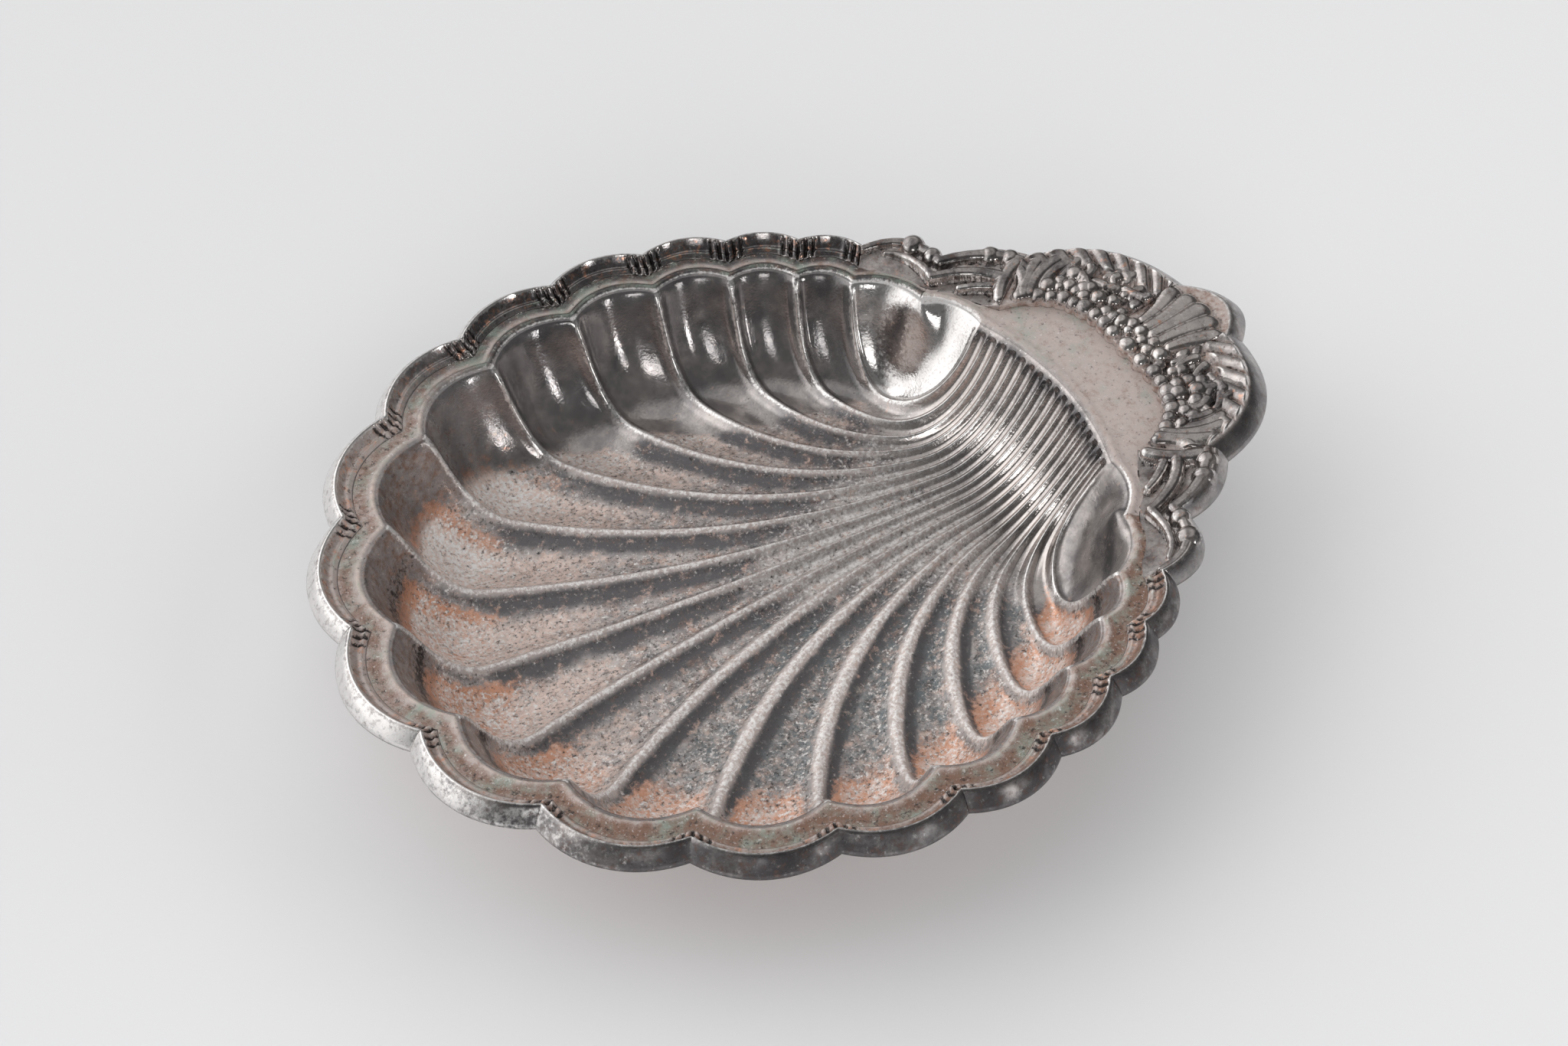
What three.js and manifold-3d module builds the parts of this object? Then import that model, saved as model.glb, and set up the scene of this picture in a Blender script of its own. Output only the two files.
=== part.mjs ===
// A scallop-shell serving dish with a grape and leaf handle: a bowl stamped from sheet, cast rim and handle
// mounts soldered on top of its edge, and three ball feet soldered underneath.
// Millimetres, +Z up, +X towards the handle, mirror plane Y = 0.
import * as THREE from 'three';
import { mergeVertices } from 'three/addons/utils/BufferGeometryUtils.js';
import ManifoldModule from 'manifold-3d';

const wasm = await ManifoldModule();
wasm.setup();

// Bowl: the mouth is an ellipse through the ends of the ridges
const MOUTH_HALF_LENGTH = 90;
const MOUTH_HALF_WIDTH = 86;
const BOWL_DEPTH = 24.5;
const SHEET_THICKNESS = 1.1;
const FRONT_WALL_WIDTH = 20;
const RIBBED_WALL_WIDTH = 30;
const WALL_CURVE = 2.2;
const UPRIGHT_WALL_SHARE = 0.4;

// Flutes: narrow beside the handle, wide at the front, in degrees of the mouth
const FLUTE_COUNT = 17;
const NARROW_FLUTE_ANGLE = 9.5;
const FRONT_FLUTE_EXTRA_ANGLE = 12;
const FLUTE_GROWTH_POWER = 1.6;
const RIB_HALF_SPREAD = 19.7;
const EAR_ANGLE = 31.6;
const MOUTH_LOBE_RATIO = 0.18;
const WIDE_FLUTE_WIDTH = 18;
const WIDE_FLUTE_DEPTH_RATIO = 0.17;
const RIB_WIDTH = 4;
const RIB_DEPTH_RATIO = 0.3;
const RIB_END_BAND = 4.5;
const EAR_DEPTH_RATIO = 0.12;
const RIDGE_ROUNDING_RATIO = 0.022;
const RIDGE_START_PULL = 0.33;
const RIDGE_END_PULL = 0.34;
const RIDGE_END_PULL_AT_EARS = 0.67;

// Rim moulding
const CHANNEL_WIDTH = 6;
const RIM_WIDTH = 14;
const RIM_HEIGHT = 3.8;
const RIM_SKIRT_WIDTH = 3.6;
const RIM_LOBE_RATIO = 0.155;
const SKIRT_DROP = 1.4;
const SKIRT_EDGE = 0.9;
const SHEET_EDGE_INSET = 2.4;
const HANDLE_SHEET_INSET = 5;

// Handle: notches of its outline by angle and by reach beyond the mouth, with the bulge of each lobe. Its toe
// is the inner edge of the mounts.
const SCROLL_NOTCH_REACH = 16.5;
const SCROLL_BULGE = 5;
const SCROLL_TOE_REACH = 4;
const LEAF_NOTCH_ANGLE = 21.9;
const LEAF_NOTCH_REACH = 28.5;
const VOLUTE_BULGE = 2.6;
const LEAF_TOE_ANGLE = 19.1;
const LEAF_TOE_REACH = 6.7;
const CENTRE_NOTCH_ANGLE = 4.8;
const CENTRE_NOTCH_REACH = 48.3;
const LEAF_BULGE = 7.8;
const LEAF_TOE_BULGE = 6;
const CENTRE_TOE_REACH = 19.4;
const CENTRE_BULGE = 7;
const HANDLE_HEIGHT = 4.2;
const HANDLE_SKIRT_WIDTH = 5.5;
const HANDLE_TOE_FACE = 1.7;

// Ornament on the handle
const GRAPE_RADIUS = 2.3;
const GRAPE_ROWS = [6, 6, 5, 4];
const GRAPE_SPACING_RATIO = 1.7;
const VOLUTE_RADIUS = 4;
const VOLUTE_HEIGHT = 5;
const SCROLL_KNOB_SHARE = 0.7;
const VOLUTE_KNOB_SHARE = 0.65;
const LEAFLET_LENGTH = 6.5;
const LEAFLET_WIDTH = 3;
const LEAFLET_THICKNESS = 3;
const LEAFLET_SHARES = [0.1, 0.24, 0.38];
const LEAFLET_HEADING = 35;
const LEAFLET_FAN = 18;

// Feet
const FOOT_DROP = 12.5;
const FOOT_RADIUS = 5;
const FOOT_FLAT_RADIUS = 2;
const FOOT_NECK_RADIUS = 3;
const FRONT_FOOT_X = -52;
const REAR_FOOT_X = 36;
const REAR_FOOT_Y = 39;

const SOLDER_GAP = 0.3;
const MERGE_DISTANCE = 0.001;
const SLOPE_STEP = 0.2;

// Mesh fineness
const STEPS_PER_FLUTE = 4;
const STEPS_PER_EAR = 4;
const STEPS_PER_LOBE = 6;
const STEPS_PER_LEAF = 10;
const FLOOR_ROWS = 5;
const FRONT_WALL_ROWS = [0.08, 0.22, 0.42, 0.68, 1];
const RIBBED_WALL_ROWS = [0.07, 0.15, 0.34, 0.64, 1];
const WALL_LENGTH_LIMIT = 0.4;
const SKIRT_ROWS = [0.35, 0.65, 0.88];
const COVE_ROWS = [0.35, 0.62, 0.82];
const FOOT_SIDES = 20;
const FOOT_STEPS = 8;

const SILVERED_SHEET = new THREE.MeshStandardMaterial({ color: '#a79c96', roughness: 0.32, metalness: 1 });
const CAST_MOUNT = new THREE.MeshStandardMaterial({ color: '#8b827c', roughness: 0.38, metalness: 1 });
const TURNED_FOOT = new THREE.MeshStandardMaterial({ color: '#969089', roughness: 0.3, metalness: 1 });

const { lerp, clamp, smoothstep, degToRad } = THREE.MathUtils;
const UP = new THREE.Vector3(0, 0, 1);
const arch = (f) => 4 * f * (1 - f);

// Mouth ellipse
function mouthPoint(angle) {
  const a = degToRad(angle);
  return new THREE.Vector2(MOUTH_HALF_LENGTH * Math.cos(a), MOUTH_HALF_WIDTH * Math.sin(a));
}

function mouthNormal(angle) {
  const a = degToRad(angle);
  return new THREE.Vector2(MOUTH_HALF_WIDTH * Math.cos(a), MOUTH_HALF_LENGTH * Math.sin(a)).normalize();
}

const beyondMouth = (angle, reach) => mouthPoint(angle).addScaledVector(mouthNormal(angle), reach);

// Ridges by number, 0 beside the handle on +Y round the front to the last on -Y. A flute coordinate s is a
// ridge's number on the ridge, and runs past both ends by one over the two smooth ears beside the handle.
const fluteAngles = Array.from({ length: FLUTE_COUNT }, (_, i) => NARROW_FLUTE_ANGLE
  + FRONT_FLUTE_EXTRA_ANGLE * Math.sin(Math.PI * (i + 0.5) / FLUTE_COUNT) ** FLUTE_GROWTH_POWER);
const fluteSpan = fluteAngles.reduce((sum, angle) => sum + angle, 0);
const ridgeAngles = [180 - fluteSpan / 2];
for (const angle of fluteAngles) {
  ridgeAngles.push(ridgeAngles.at(-1) + angle);
}
const fluteOf = (s) => clamp(Math.floor(s), 0, FLUTE_COUNT - 1);

function rimAngle(s) {
  if (s < 0) {
    return lerp(ridgeAngles[0], EAR_ANGLE, -s);
  }
  if (s > FLUTE_COUNT) {
    return lerp(ridgeAngles[FLUTE_COUNT] - 360, -EAR_ANGLE, s - FLUTE_COUNT);
  }
  const flute = fluteOf(s);
  return lerp(ridgeAngles[flute], ridgeAngles[flute + 1], s - flute);
}

function ribAngle(s) {
  if (s < 0) {
    return lerp(RIB_HALF_SPREAD, EAR_ANGLE, -s);
  }
  if (s > FLUTE_COUNT) {
    return lerp(-RIB_HALF_SPREAD, -EAR_ANGLE, s - FLUTE_COUNT);
  }
  return RIB_HALF_SPREAD * (1 - 2 * s / FLUTE_COUNT);
}

// Plan line of a ridge, or of a line between ridges, from the lobed mouth to the ribbed wall
function ridgeCurve(s) {
  const start = mouthPoint(rimAngle(s));
  const end = mouthPoint(ribAngle(s));
  const span = start.distanceTo(end);
  const aside = Math.min(Math.abs(2 * s / FLUTE_COUNT - 1), 1);
  const endPull = lerp(RIDGE_END_PULL, RIDGE_END_PULL_AT_EARS, aside ** 2);
  return new THREE.CubicBezierCurve(
    start,
    start.clone().addScaledVector(mouthNormal(rimAngle(s)), -RIDGE_START_PULL * span),
    end.clone().addScaledVector(mouthNormal(ribAngle(s)), -endPull * span),
    end,
  );
}

const ridgeCurves = ridgeAngles.map((_, i) => ridgeCurve(i));

// Depth of a flute or rib below its ridges, at a distance from the mouth at each end
function fluteScoop(s, u, fromFront, fromRear) {
  if (s < 0 || s > FLUTE_COUNT) {
    const edge = ridgeCurves[s < 0 ? 0 : FLUTE_COUNT].getPointAt(u);
    const corner = mouthPoint(s < 0 ? EAR_ANGLE : -EAR_ANGLE);
    const across = s < 0 ? s + 1 : FLUTE_COUNT + 1 - s;
    return EAR_DEPTH_RATIO * edge.distanceTo(corner) * arch(across);
  }
  const flute = fluteOf(s);
  const spacing = ridgeCurves[flute].getPointAt(u).distanceTo(ridgeCurves[flute + 1].getPointAt(u));
  const wideness = smoothstep(spacing, RIB_WIDTH, WIDE_FLUTE_WIDTH);
  const floorRatio = lerp(RIB_DEPTH_RATIO, WIDE_FLUTE_DEPTH_RATIO, wideness);
  const ratio = lerp(MOUTH_LOBE_RATIO, floorRatio, clamp(fromFront / FRONT_WALL_WIDTH, 0, 1));
  const rounding = RIDGE_ROUNDING_RATIO * spacing;
  const depth = Math.hypot(ratio * spacing * arch(s - flute), rounding) - rounding;
  return depth * smoothstep(fromRear, RIB_END_BAND / 2, RIB_END_BAND);
}

const wallDrop = (share) => 1 - (1 - clamp(share, 0, 1)) ** WALL_CURVE;

// A point on the bowl's upper face, with the direction through the sheet to its lower face
function bowlPoint(s, u) {
  const atCorner = s <= -1 || s >= FLUTE_COUNT + 1;
  if (atCorner) {
    const corner = mouthPoint(rimAngle(s));
    const outward = mouthNormal(rimAngle(s));
    const through = new THREE.Vector3(outward.x, outward.y, -1);
    return { top: new THREE.Vector3(corner.x, corner.y, 0), through };
  }
  const curve = ridgeCurve(s);
  const length = curve.getLength();
  const heightAt = (share) => -BOWL_DEPTH
    * wallDrop(share * length / FRONT_WALL_WIDTH) * wallDrop((1 - share) * length / RIBBED_WALL_WIDTH);
  const plan = curve.getPointAt(u);
  const heading = curve.getTangentAt(u);
  const step = SLOPE_STEP / length;
  const low = clamp(u - step, 0, 1);
  const high = clamp(u + step, 0, 1);
  const slope = (heightAt(high) - heightAt(low)) / ((high - low) * length);
  const inward = new THREE.Vector3(heading.x, heading.y, 0).multiplyScalar(u < 0.5 ? 1 : -1);
  const normal = new THREE.Vector3(-slope * heading.x, -slope * heading.y, 1).normalize();
  const [fromFront, fromRear] = [u * length, (1 - u) * length];
  const wallShare = u < 0.5 ? fromFront / FRONT_WALL_WIDTH : fromRear / RIBBED_WALL_WIDTH;
  const push = inward.clone().lerp(normal, smoothstep(wallShare, 0, UPRIGHT_WALL_SHARE)).normalize();
  const scoop = fluteScoop(s, u, fromFront, fromRear);
  const top = new THREE.Vector3(plan.x, plan.y, heightAt(u)).addScaledVector(push, -scoop);
  const atMouth = u === 0 || u === 1;
  const through = atMouth ? inward.negate().sub(UP) : normal.negate();
  return { top, through };
}

// Outline of the rim's lobes at a distance beyond the mouth
function rimPoint(s, reach) {
  const flute = fluteOf(s);
  const chord = mouthPoint(ridgeAngles[flute]).distanceTo(mouthPoint(ridgeAngles[flute + 1]));
  const ratio = lerp(MOUTH_LOBE_RATIO, RIM_LOBE_RATIO, reach / RIM_WIDTH);
  return beyondMouth(rimAngle(s), reach + ratio * chord * arch(s - flute));
}

// Handle lobes on the +Y side: outline and inner edge run from one notch to the next
const notch = (angle, reach, toeAngle, toeReach) => ({ angle, reach, toeAngle, toeReach });
const HANDLE_NOTCHES = [
  notch(ridgeAngles[0], RIM_WIDTH, ridgeAngles[0], CHANNEL_WIDTH),
  notch(EAR_ANGLE, SCROLL_NOTCH_REACH, EAR_ANGLE, SCROLL_TOE_REACH),
  notch(LEAF_NOTCH_ANGLE, LEAF_NOTCH_REACH, LEAF_TOE_ANGLE, LEAF_TOE_REACH),
  notch(CENTRE_NOTCH_ANGLE, CENTRE_NOTCH_REACH, CENTRE_NOTCH_ANGLE, CENTRE_TOE_REACH),
  notch(-CENTRE_NOTCH_ANGLE, CENTRE_NOTCH_REACH, -CENTRE_NOTCH_ANGLE, CENTRE_TOE_REACH),
];
const LOBE_BULGES = [SCROLL_BULGE, VOLUTE_BULGE, LEAF_BULGE, CENTRE_BULGE];
const TOE_BULGES = [0, 0, LEAF_TOE_BULGE, 0];
const SCROLL = 0;
const VOLUTE = 1;
const LEAF = 2;
const CENTRE = 3;

function bulgedChord(from, to, f, bulge) {
  const across = to.clone().sub(from);
  const outward = new THREE.Vector2(-across.y, across.x).normalize();
  return from.clone().lerp(to, f).addScaledVector(outward, bulge * arch(f));
}

function handleOutline(lobe, f, inset) {
  const [from, to] = [HANDLE_NOTCHES[lobe], HANDLE_NOTCHES[lobe + 1]];
  return bulgedChord(beyondMouth(from.angle, from.reach - inset), beyondMouth(to.angle, to.reach - inset),
    f, LOBE_BULGES[lobe]);
}

function handleToe(lobe, f) {
  const [from, to] = [HANDLE_NOTCHES[lobe], HANDLE_NOTCHES[lobe + 1]];
  return bulgedChord(beyondMouth(from.toeAngle, from.toeReach), beyondMouth(to.toeAngle, to.toeReach),
    f, TOE_BULGES[lobe]);
}

// Edge of the stamped sheet, hidden under the mounts
function sheetEdge(angle) {
  const size = Math.abs(angle);
  const lobe = [SCROLL, VOLUTE, LEAF, CENTRE].find((i) => size >= HANDLE_NOTCHES[i + 1].angle);
  const [from, to] = [HANDLE_NOTCHES[lobe].angle, HANDLE_NOTCHES[lobe + 1].angle];
  const f = (from - size) / (from - to);
  const inset = lobe === SCROLL ? lerp(SHEET_EDGE_INSET, HANDLE_SHEET_INSET, f) : HANDLE_SHEET_INSET;
  const edge = handleOutline(lobe, f, inset);
  return new THREE.Vector2(edge.x, angle < 0 ? -edge.y : edge.y);
}

// Closed geometry from points and triangles: merged, without slivers, facing out
function closedGeometry(points, triangles) {
  const raw = new THREE.BufferGeometry();
  raw.setAttribute('position', new THREE.Float32BufferAttribute(points.flatMap((p) => [p.x, p.y, p.z]), 3));
  raw.setIndex(triangles.flat());
  const merged = mergeVertices(raw, MERGE_DISTANCE);
  const index = merged.getIndex().array;
  const corners = [0, 1, 2].map(() => new THREE.Vector3());
  const kept = [];
  let volume = 0;
  for (let i = 0; i < index.length; i += 3) {
    const face = [index[i], index[i + 1], index[i + 2]];
    if (new Set(face).size === 3) {
      face.forEach((vertex, k) => corners[k].fromBufferAttribute(merged.getAttribute('position'), vertex));
      volume += corners[0].dot(corners[1].clone().cross(corners[2]));
      kept.push(face);
    }
  }
  merged.setIndex(kept.flatMap((face) => (volume < 0 ? face.toReversed() : face)));
  return merged;
}

// A sheet from two grids of points, its lower and upper face, joined along the outer edge
function sheetGeometry(tops, bottoms) {
  const rows = tops[0].length;
  const points = [...tops.flat(), ...bottoms.flat()];
  const under = tops.length * rows;
  const triangles = [];
  for (let i = 0; i + 1 < tops.length; i += 1) {
    for (let j = 0; j + 1 < rows; j += 1) {
      const [a, b, c, d] = [i * rows + j, (i + 1) * rows + j, (i + 1) * rows + j + 1, i * rows + j + 1];
      triangles.push([a, b, c], [a, c, d]);
      triangles.push([under + a, under + c, under + b], [under + a, under + d, under + c]);
    }
    const [frontHere, frontNext] = [i * rows, (i + 1) * rows];
    const [backHere, backNext] = [frontHere + rows - 1, frontNext + rows - 1];
    triangles.push([frontHere, under + frontHere, under + frontNext]);
    triangles.push([frontHere, under + frontNext, frontNext]);
    triangles.push([backHere, backNext, under + backNext]);
    triangles.push([backHere, under + backNext, under + backHere]);
  }
  return closedGeometry(points, triangles);
}

// A bar from a row of closed sections, each a list of { point, across, up } with the same number of corners
function loftGeometry(sections) {
  const corners = sections[0].length;
  const points = sections.flatMap((section) => section.map((corner) => corner.point));
  const triangles = [];
  for (let i = 0; i + 1 < sections.length; i += 1) {
    for (let j = 0; j < corners; j += 1) {
      const k = (j + 1) % corners;
      const [a, b, c, d] = [i * corners + j, (i + 1) * corners + j, (i + 1) * corners + k, i * corners + k];
      triangles.push([a, b, c], [a, c, d]);
    }
  }
  const capOf = (section) => {
    const outline = section.map((corner) => new THREE.Vector2(corner.across, corner.up));
    const turnOf = (polygon) => Math.sign(THREE.ShapeUtils.area(polygon));
    return THREE.ShapeUtils.triangulateShape(outline, []).map((face) => {
      const alike = turnOf(face.map((corner) => outline[corner])) === turnOf(outline);
      return alike ? face : face.toReversed();
    });
  };
  const last = (sections.length - 1) * corners;
  triangles.push(...capOf(sections[0]));
  triangles.push(...capOf(sections.at(-1)).map(([a, b, c]) => [last + c, last + b, last + a]));
  return closedGeometry(points, triangles);
}

function toManifold(geometry) {
  const bare = geometry.clone();
  bare.deleteAttribute('normal');
  bare.deleteAttribute('uv');
  const merged = mergeVertices(bare, MERGE_DISTANCE);
  return new wasm.Manifold(new wasm.Mesh({
    numProp: 3,
    vertProperties: Float32Array.from(merged.getAttribute('position').array),
    triVerts: Uint32Array.from(merged.getIndex().array),
  }));
}

function fromManifold(solid) {
  const mesh = solid.getMesh();
  const geometry = new THREE.BufferGeometry();
  geometry.setAttribute('position', new THREE.BufferAttribute(Float32Array.from(mesh.vertProperties), 3));
  geometry.setIndex(new THREE.BufferAttribute(Uint32Array.from(mesh.triVerts), 1));
  return geometry;
}

// Stamped bowl with its channel and handle plate, as columns across the flutes and rows along them
const fluteColumns = [];
for (let i = 0; i < STEPS_PER_EAR; i += 1) {
  fluteColumns.push(-1 + i / STEPS_PER_EAR);
}
for (let i = 0; i < FLUTE_COUNT * STEPS_PER_FLUTE; i += 1) {
  fluteColumns.push(i / STEPS_PER_FLUTE);
}
for (let i = 0; i <= STEPS_PER_EAR; i += 1) {
  fluteColumns.push(FLUTE_COUNT + i / STEPS_PER_EAR);
}

function rowShares(s) {
  const length = ridgeCurve(s).getLength();
  const front = Math.min(FRONT_WALL_WIDTH / length, WALL_LENGTH_LIMIT);
  const rear = Math.min(RIBBED_WALL_WIDTH / length, WALL_LENGTH_LIMIT);
  const floor = Array.from({ length: FLOOR_ROWS }, (_, i) => lerp(front, 1 - rear, (i + 1) / (FLOOR_ROWS + 1)));
  const frontWall = FRONT_WALL_ROWS.map((share) => share * front);
  const rearWall = RIBBED_WALL_ROWS.map((share) => 1 - share * rear).reverse();
  return [0, ...frontWall, ...floor, ...rearWall, 1];
}

function bowlColumn(s) {
  const rows = rowShares(s).map((u) => bowlPoint(s, u));
  const onRim = s >= 0 && s <= FLUTE_COUNT;
  const frontEdge = onRim ? rimPoint(s, RIM_WIDTH - SHEET_EDGE_INSET) : sheetEdge(rimAngle(s));
  const backEdge = sheetEdge(ribAngle(s));
  const flat = (edge) => ({ top: new THREE.Vector3(edge.x, edge.y, 0), through: UP.clone().negate() });
  return [flat(frontEdge), ...rows, flat(backEdge)];
}

const bowlGrid = fluteColumns.map(bowlColumn);
const through = (corner, distance) => corner.top.clone().addScaledVector(corner.through, distance);

function bowlGeometry() {
  const tops = bowlGrid.map((column) => column.map((corner) => corner.top));
  const bottoms = bowlGrid.map((column) => column.map((corner) => through(corner, SHEET_THICKNESS)));
  return sheetGeometry(tops, bottoms);
}

// The space that a foot leaves to the bowl: from its solder gap below the sheet up to well above it
function bowlClearance() {
  const raised = (corner) => corner.top.clone().addScaledVector(UP, BOWL_DEPTH);
  const lowered = (corner) => through(corner, SHEET_THICKNESS).addScaledVector(UP, -SOLDER_GAP);
  const tops = bowlGrid.map((column) => column.map(raised));
  const bottoms = bowlGrid.map((column) => column.map(lowered));
  return toManifold(sheetGeometry(tops, bottoms));
}

// Section of a mount from its inner edge over the crest and down the skirt, back along its seat on the sheet
function mountProfile(width, { height, skirt, toeFace }) {
  const crest = width - skirt;
  const profile = [[0, 0]];
  if (toeFace > 0) {
    profile.push([0, toeFace]);
  }
  for (const share of COVE_ROWS) {
    profile.push([share * crest, lerp(toeFace, height, share ** 2)]);
  }
  profile.push([crest, height]);
  const edgeHeight = -SKIRT_DROP + SKIRT_EDGE;
  for (const share of SKIRT_ROWS) {
    profile.push([crest + share * skirt, lerp(edgeHeight, height, Math.sqrt(1 - share ** 2))]);
  }
  profile.push([width, edgeHeight], [width, -SKIRT_DROP], [width - SKIRT_EDGE, -SKIRT_DROP]);
  const rebate = width - SHEET_EDGE_INSET + SOLDER_GAP;
  profile.push([rebate, -SHEET_THICKNESS / 2], [rebate, 0]);
  return profile;
}

function mountSection(inner, outer, shape) {
  const profile = mountProfile(inner.distanceTo(outer), shape);
  const outward = outer.clone().sub(inner).normalize();
  return profile.map(([across, up]) => {
    const plan = inner.clone().addScaledVector(outward, across);
    return { point: new THREE.Vector3(plan.x, plan.y, up), across, up };
  });
}

// Rim moulding over a run of lobes, its ends held back by half a solder gap
const RIM_SHAPE = { height: RIM_HEIGHT, skirt: RIM_SKIRT_WIDTH, toeFace: 0 };

function rimGeometry(firstRidge, lastRidge) {
  const steps = (lastRidge - firstRidge) * STEPS_PER_LOBE;
  const chord = rimPoint(firstRidge, 0).distanceTo(rimPoint(firstRidge + 1, 0));
  const trim = SOLDER_GAP / 2 / chord;
  const sections = [];
  for (let i = 0; i <= steps; i += 1) {
    const s = clamp(firstRidge + i / STEPS_PER_LOBE, firstRidge + trim, lastRidge - trim);
    sections.push(mountSection(rimPoint(s, CHANNEL_WIDTH), rimPoint(s, RIM_WIDTH), RIM_SHAPE));
  }
  return loftGeometry(sections);
}

// Handle mounts over a run of handle lobes on +Y, turned over to -Y by mirroring
const LEAF_SHAPE = { height: HANDLE_HEIGHT, skirt: HANDLE_SKIRT_WIDTH, toeFace: HANDLE_TOE_FACE };

function handleSections(lobe, steps, shape, startTrim, endTrim) {
  const chord = handleOutline(lobe, 0, 0).distanceTo(handleOutline(lobe, 1, 0));
  const sections = [];
  for (let i = 0; i <= steps; i += 1) {
    const f = clamp(i / steps, startTrim / chord, 1 - endTrim / chord);
    sections.push(mountSection(handleToe(lobe, f), handleOutline(lobe, f, 0), shape));
  }
  return sections;
}

// Place on a handle lobe: f along it, inset from its inner edge towards the outline, at a height
function onHandle(lobe, f, inset, height) {
  const toe = handleToe(lobe, f);
  const outward = handleOutline(lobe, f, 0).sub(toe).normalize();
  const plan = toe.addScaledVector(outward, inset);
  return new THREE.Vector3(plan.x, plan.y, height);
}

const ball = (radius) => new THREE.IcosahedronGeometry(radius, 1);

function placed(geometry, place) {
  return toManifold(geometry.translate(place.x, place.y, place.z));
}

function leaflet(place, heading) {
  const blade = ball(1).scale(LEAFLET_LENGTH, LEAFLET_WIDTH, LEAFLET_THICKNESS / 2);
  return placed(blade.rotateZ(heading), place);
}

// Flattened knob of a scroll, standing on the sheet just inside the outline
function volute(lobe, f) {
  const width = handleToe(lobe, f).distanceTo(handleOutline(lobe, f, 0));
  const knob = ball(VOLUTE_RADIUS).scale(1, 1, VOLUTE_HEIGHT / 2 / VOLUTE_RADIUS);
  const inset = width - SHEET_EDGE_INSET - VOLUTE_RADIUS;
  return placed(knob, onHandle(lobe, f, inset, VOLUTE_HEIGHT / 2 + SOLDER_GAP));
}

const joined = (solids) => fromManifold(solids.reduce((whole, solid) => whole.add(solid)));

function scrollGeometry() {
  const trim = SOLDER_GAP / 2;
  const sections = [
    ...handleSections(SCROLL, STEPS_PER_LOBE, RIM_SHAPE, trim, 0),
    ...handleSections(VOLUTE, STEPS_PER_LOBE, RIM_SHAPE, 0, trim).slice(1),
  ];
  const knobs = [volute(SCROLL, SCROLL_KNOB_SHARE), volute(VOLUTE, VOLUTE_KNOB_SHARE)];
  return joined([toManifold(loftGeometry(sections)), ...knobs]);
}

const grapeHeight = GRAPE_RADIUS + SOLDER_GAP;
const grapePitch = GRAPE_SPACING_RATIO * GRAPE_RADIUS;

function vineGeometry() {
  const trim = SOLDER_GAP / 2;
  const body = toManifold(loftGeometry(handleSections(LEAF, STEPS_PER_LEAF, LEAF_SHAPE, trim, trim)));
  const length = handleToe(LEAF, 0).distanceTo(handleToe(LEAF, 1));
  const grapes = GRAPE_ROWS.flatMap((count, row) => Array.from({ length: count }, (_, i) => {
    const along = GRAPE_RADIUS + (i + (row % 2) / 2) * grapePitch;
    const place = onHandle(LEAF, 1 - along / length, GRAPE_RADIUS + row * grapePitch, grapeHeight);
    return placed(ball(GRAPE_RADIUS), place);
  }));
  const leaves = LEAFLET_SHARES.map((f, i) => leaflet(
    onHandle(LEAF, f, LEAFLET_LENGTH, HANDLE_TOE_FACE + LEAFLET_THICKNESS / 4),
    degToRad(LEAFLET_HEADING + i * LEAFLET_FAN)));
  return joined([body, ...grapes, ...leaves]);
}

function centreGeometry() {
  const trim = SOLDER_GAP / 2;
  const body = toManifold(loftGeometry(handleSections(CENTRE, STEPS_PER_LOBE, LEAF_SHAPE, trim, trim)));
  const crest = handleOutline(CENTRE, 0.5, HANDLE_SKIRT_WIDTH).x;
  const leaves = [-1, 0, 1].map((side) => leaflet(
    new THREE.Vector3(crest - LEAFLET_LENGTH, side * LEAFLET_WIDTH, HANDLE_HEIGHT - LEAFLET_THICKNESS / 4),
    degToRad(side * LEAFLET_FAN)));
  const toe = handleToe(CENTRE, 0.5).x;
  const grapes = [-1, 1].map((side) => placed(ball(GRAPE_RADIUS),
    new THREE.Vector3(toe + GRAPE_RADIUS, side * GRAPE_RADIUS, grapeHeight)));
  return joined([body, ...leaves, ...grapes]);
}

function mirrored(geometry) {
  const copy = geometry.clone().scale(1, -1, 1);
  copy.setIndex(Array.from(copy.getIndex().array).reverse());
  return copy;
}

// Ball foot: turned in one piece with a neck that is fitted to the underside of the bowl
const table = -(BOWL_DEPTH + FOOT_DROP);

function footGeometry(x, y) {
  const centre = table + Math.sqrt(FOOT_RADIUS ** 2 - FOOT_FLAT_RADIUS ** 2);
  const lowest = Math.asin(FOOT_FLAT_RADIUS / FOOT_RADIUS);
  const highest = Math.PI - Math.asin(FOOT_NECK_RADIUS / FOOT_RADIUS);
  const profile = [new THREE.Vector2(0, table)];
  for (let i = 0; i <= FOOT_STEPS; i += 1) {
    const turn = lerp(lowest, highest, i / FOOT_STEPS);
    profile.push(new THREE.Vector2(FOOT_RADIUS * Math.sin(turn), centre - FOOT_RADIUS * Math.cos(turn)));
  }
  profile.push(new THREE.Vector2(FOOT_NECK_RADIUS, -BOWL_DEPTH), new THREE.Vector2(0, -BOWL_DEPTH));
  const turned = new THREE.LatheGeometry(profile, FOOT_SIDES).rotateX(Math.PI / 2).translate(x, y, 0);
  return fromManifold(toManifold(turned).subtract(bowlClearance()));
}

// The dish stands on its feet, with the middle of its outline over the origin
const front = rimPoint(FLUTE_COUNT / 2, RIM_WIDTH).x;
const tip = handleOutline(CENTRE, 0.5, 0).x;
const dish = new THREE.Group();
dish.position.set(-(front + tip) / 2, 0, -table);

function addPiece(name, geometry, material) {
  const mesh = new THREE.Mesh(geometry, material);
  mesh.name = name;
  geometry.computeVertexNormals();
  dish.add(mesh);
}

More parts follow.
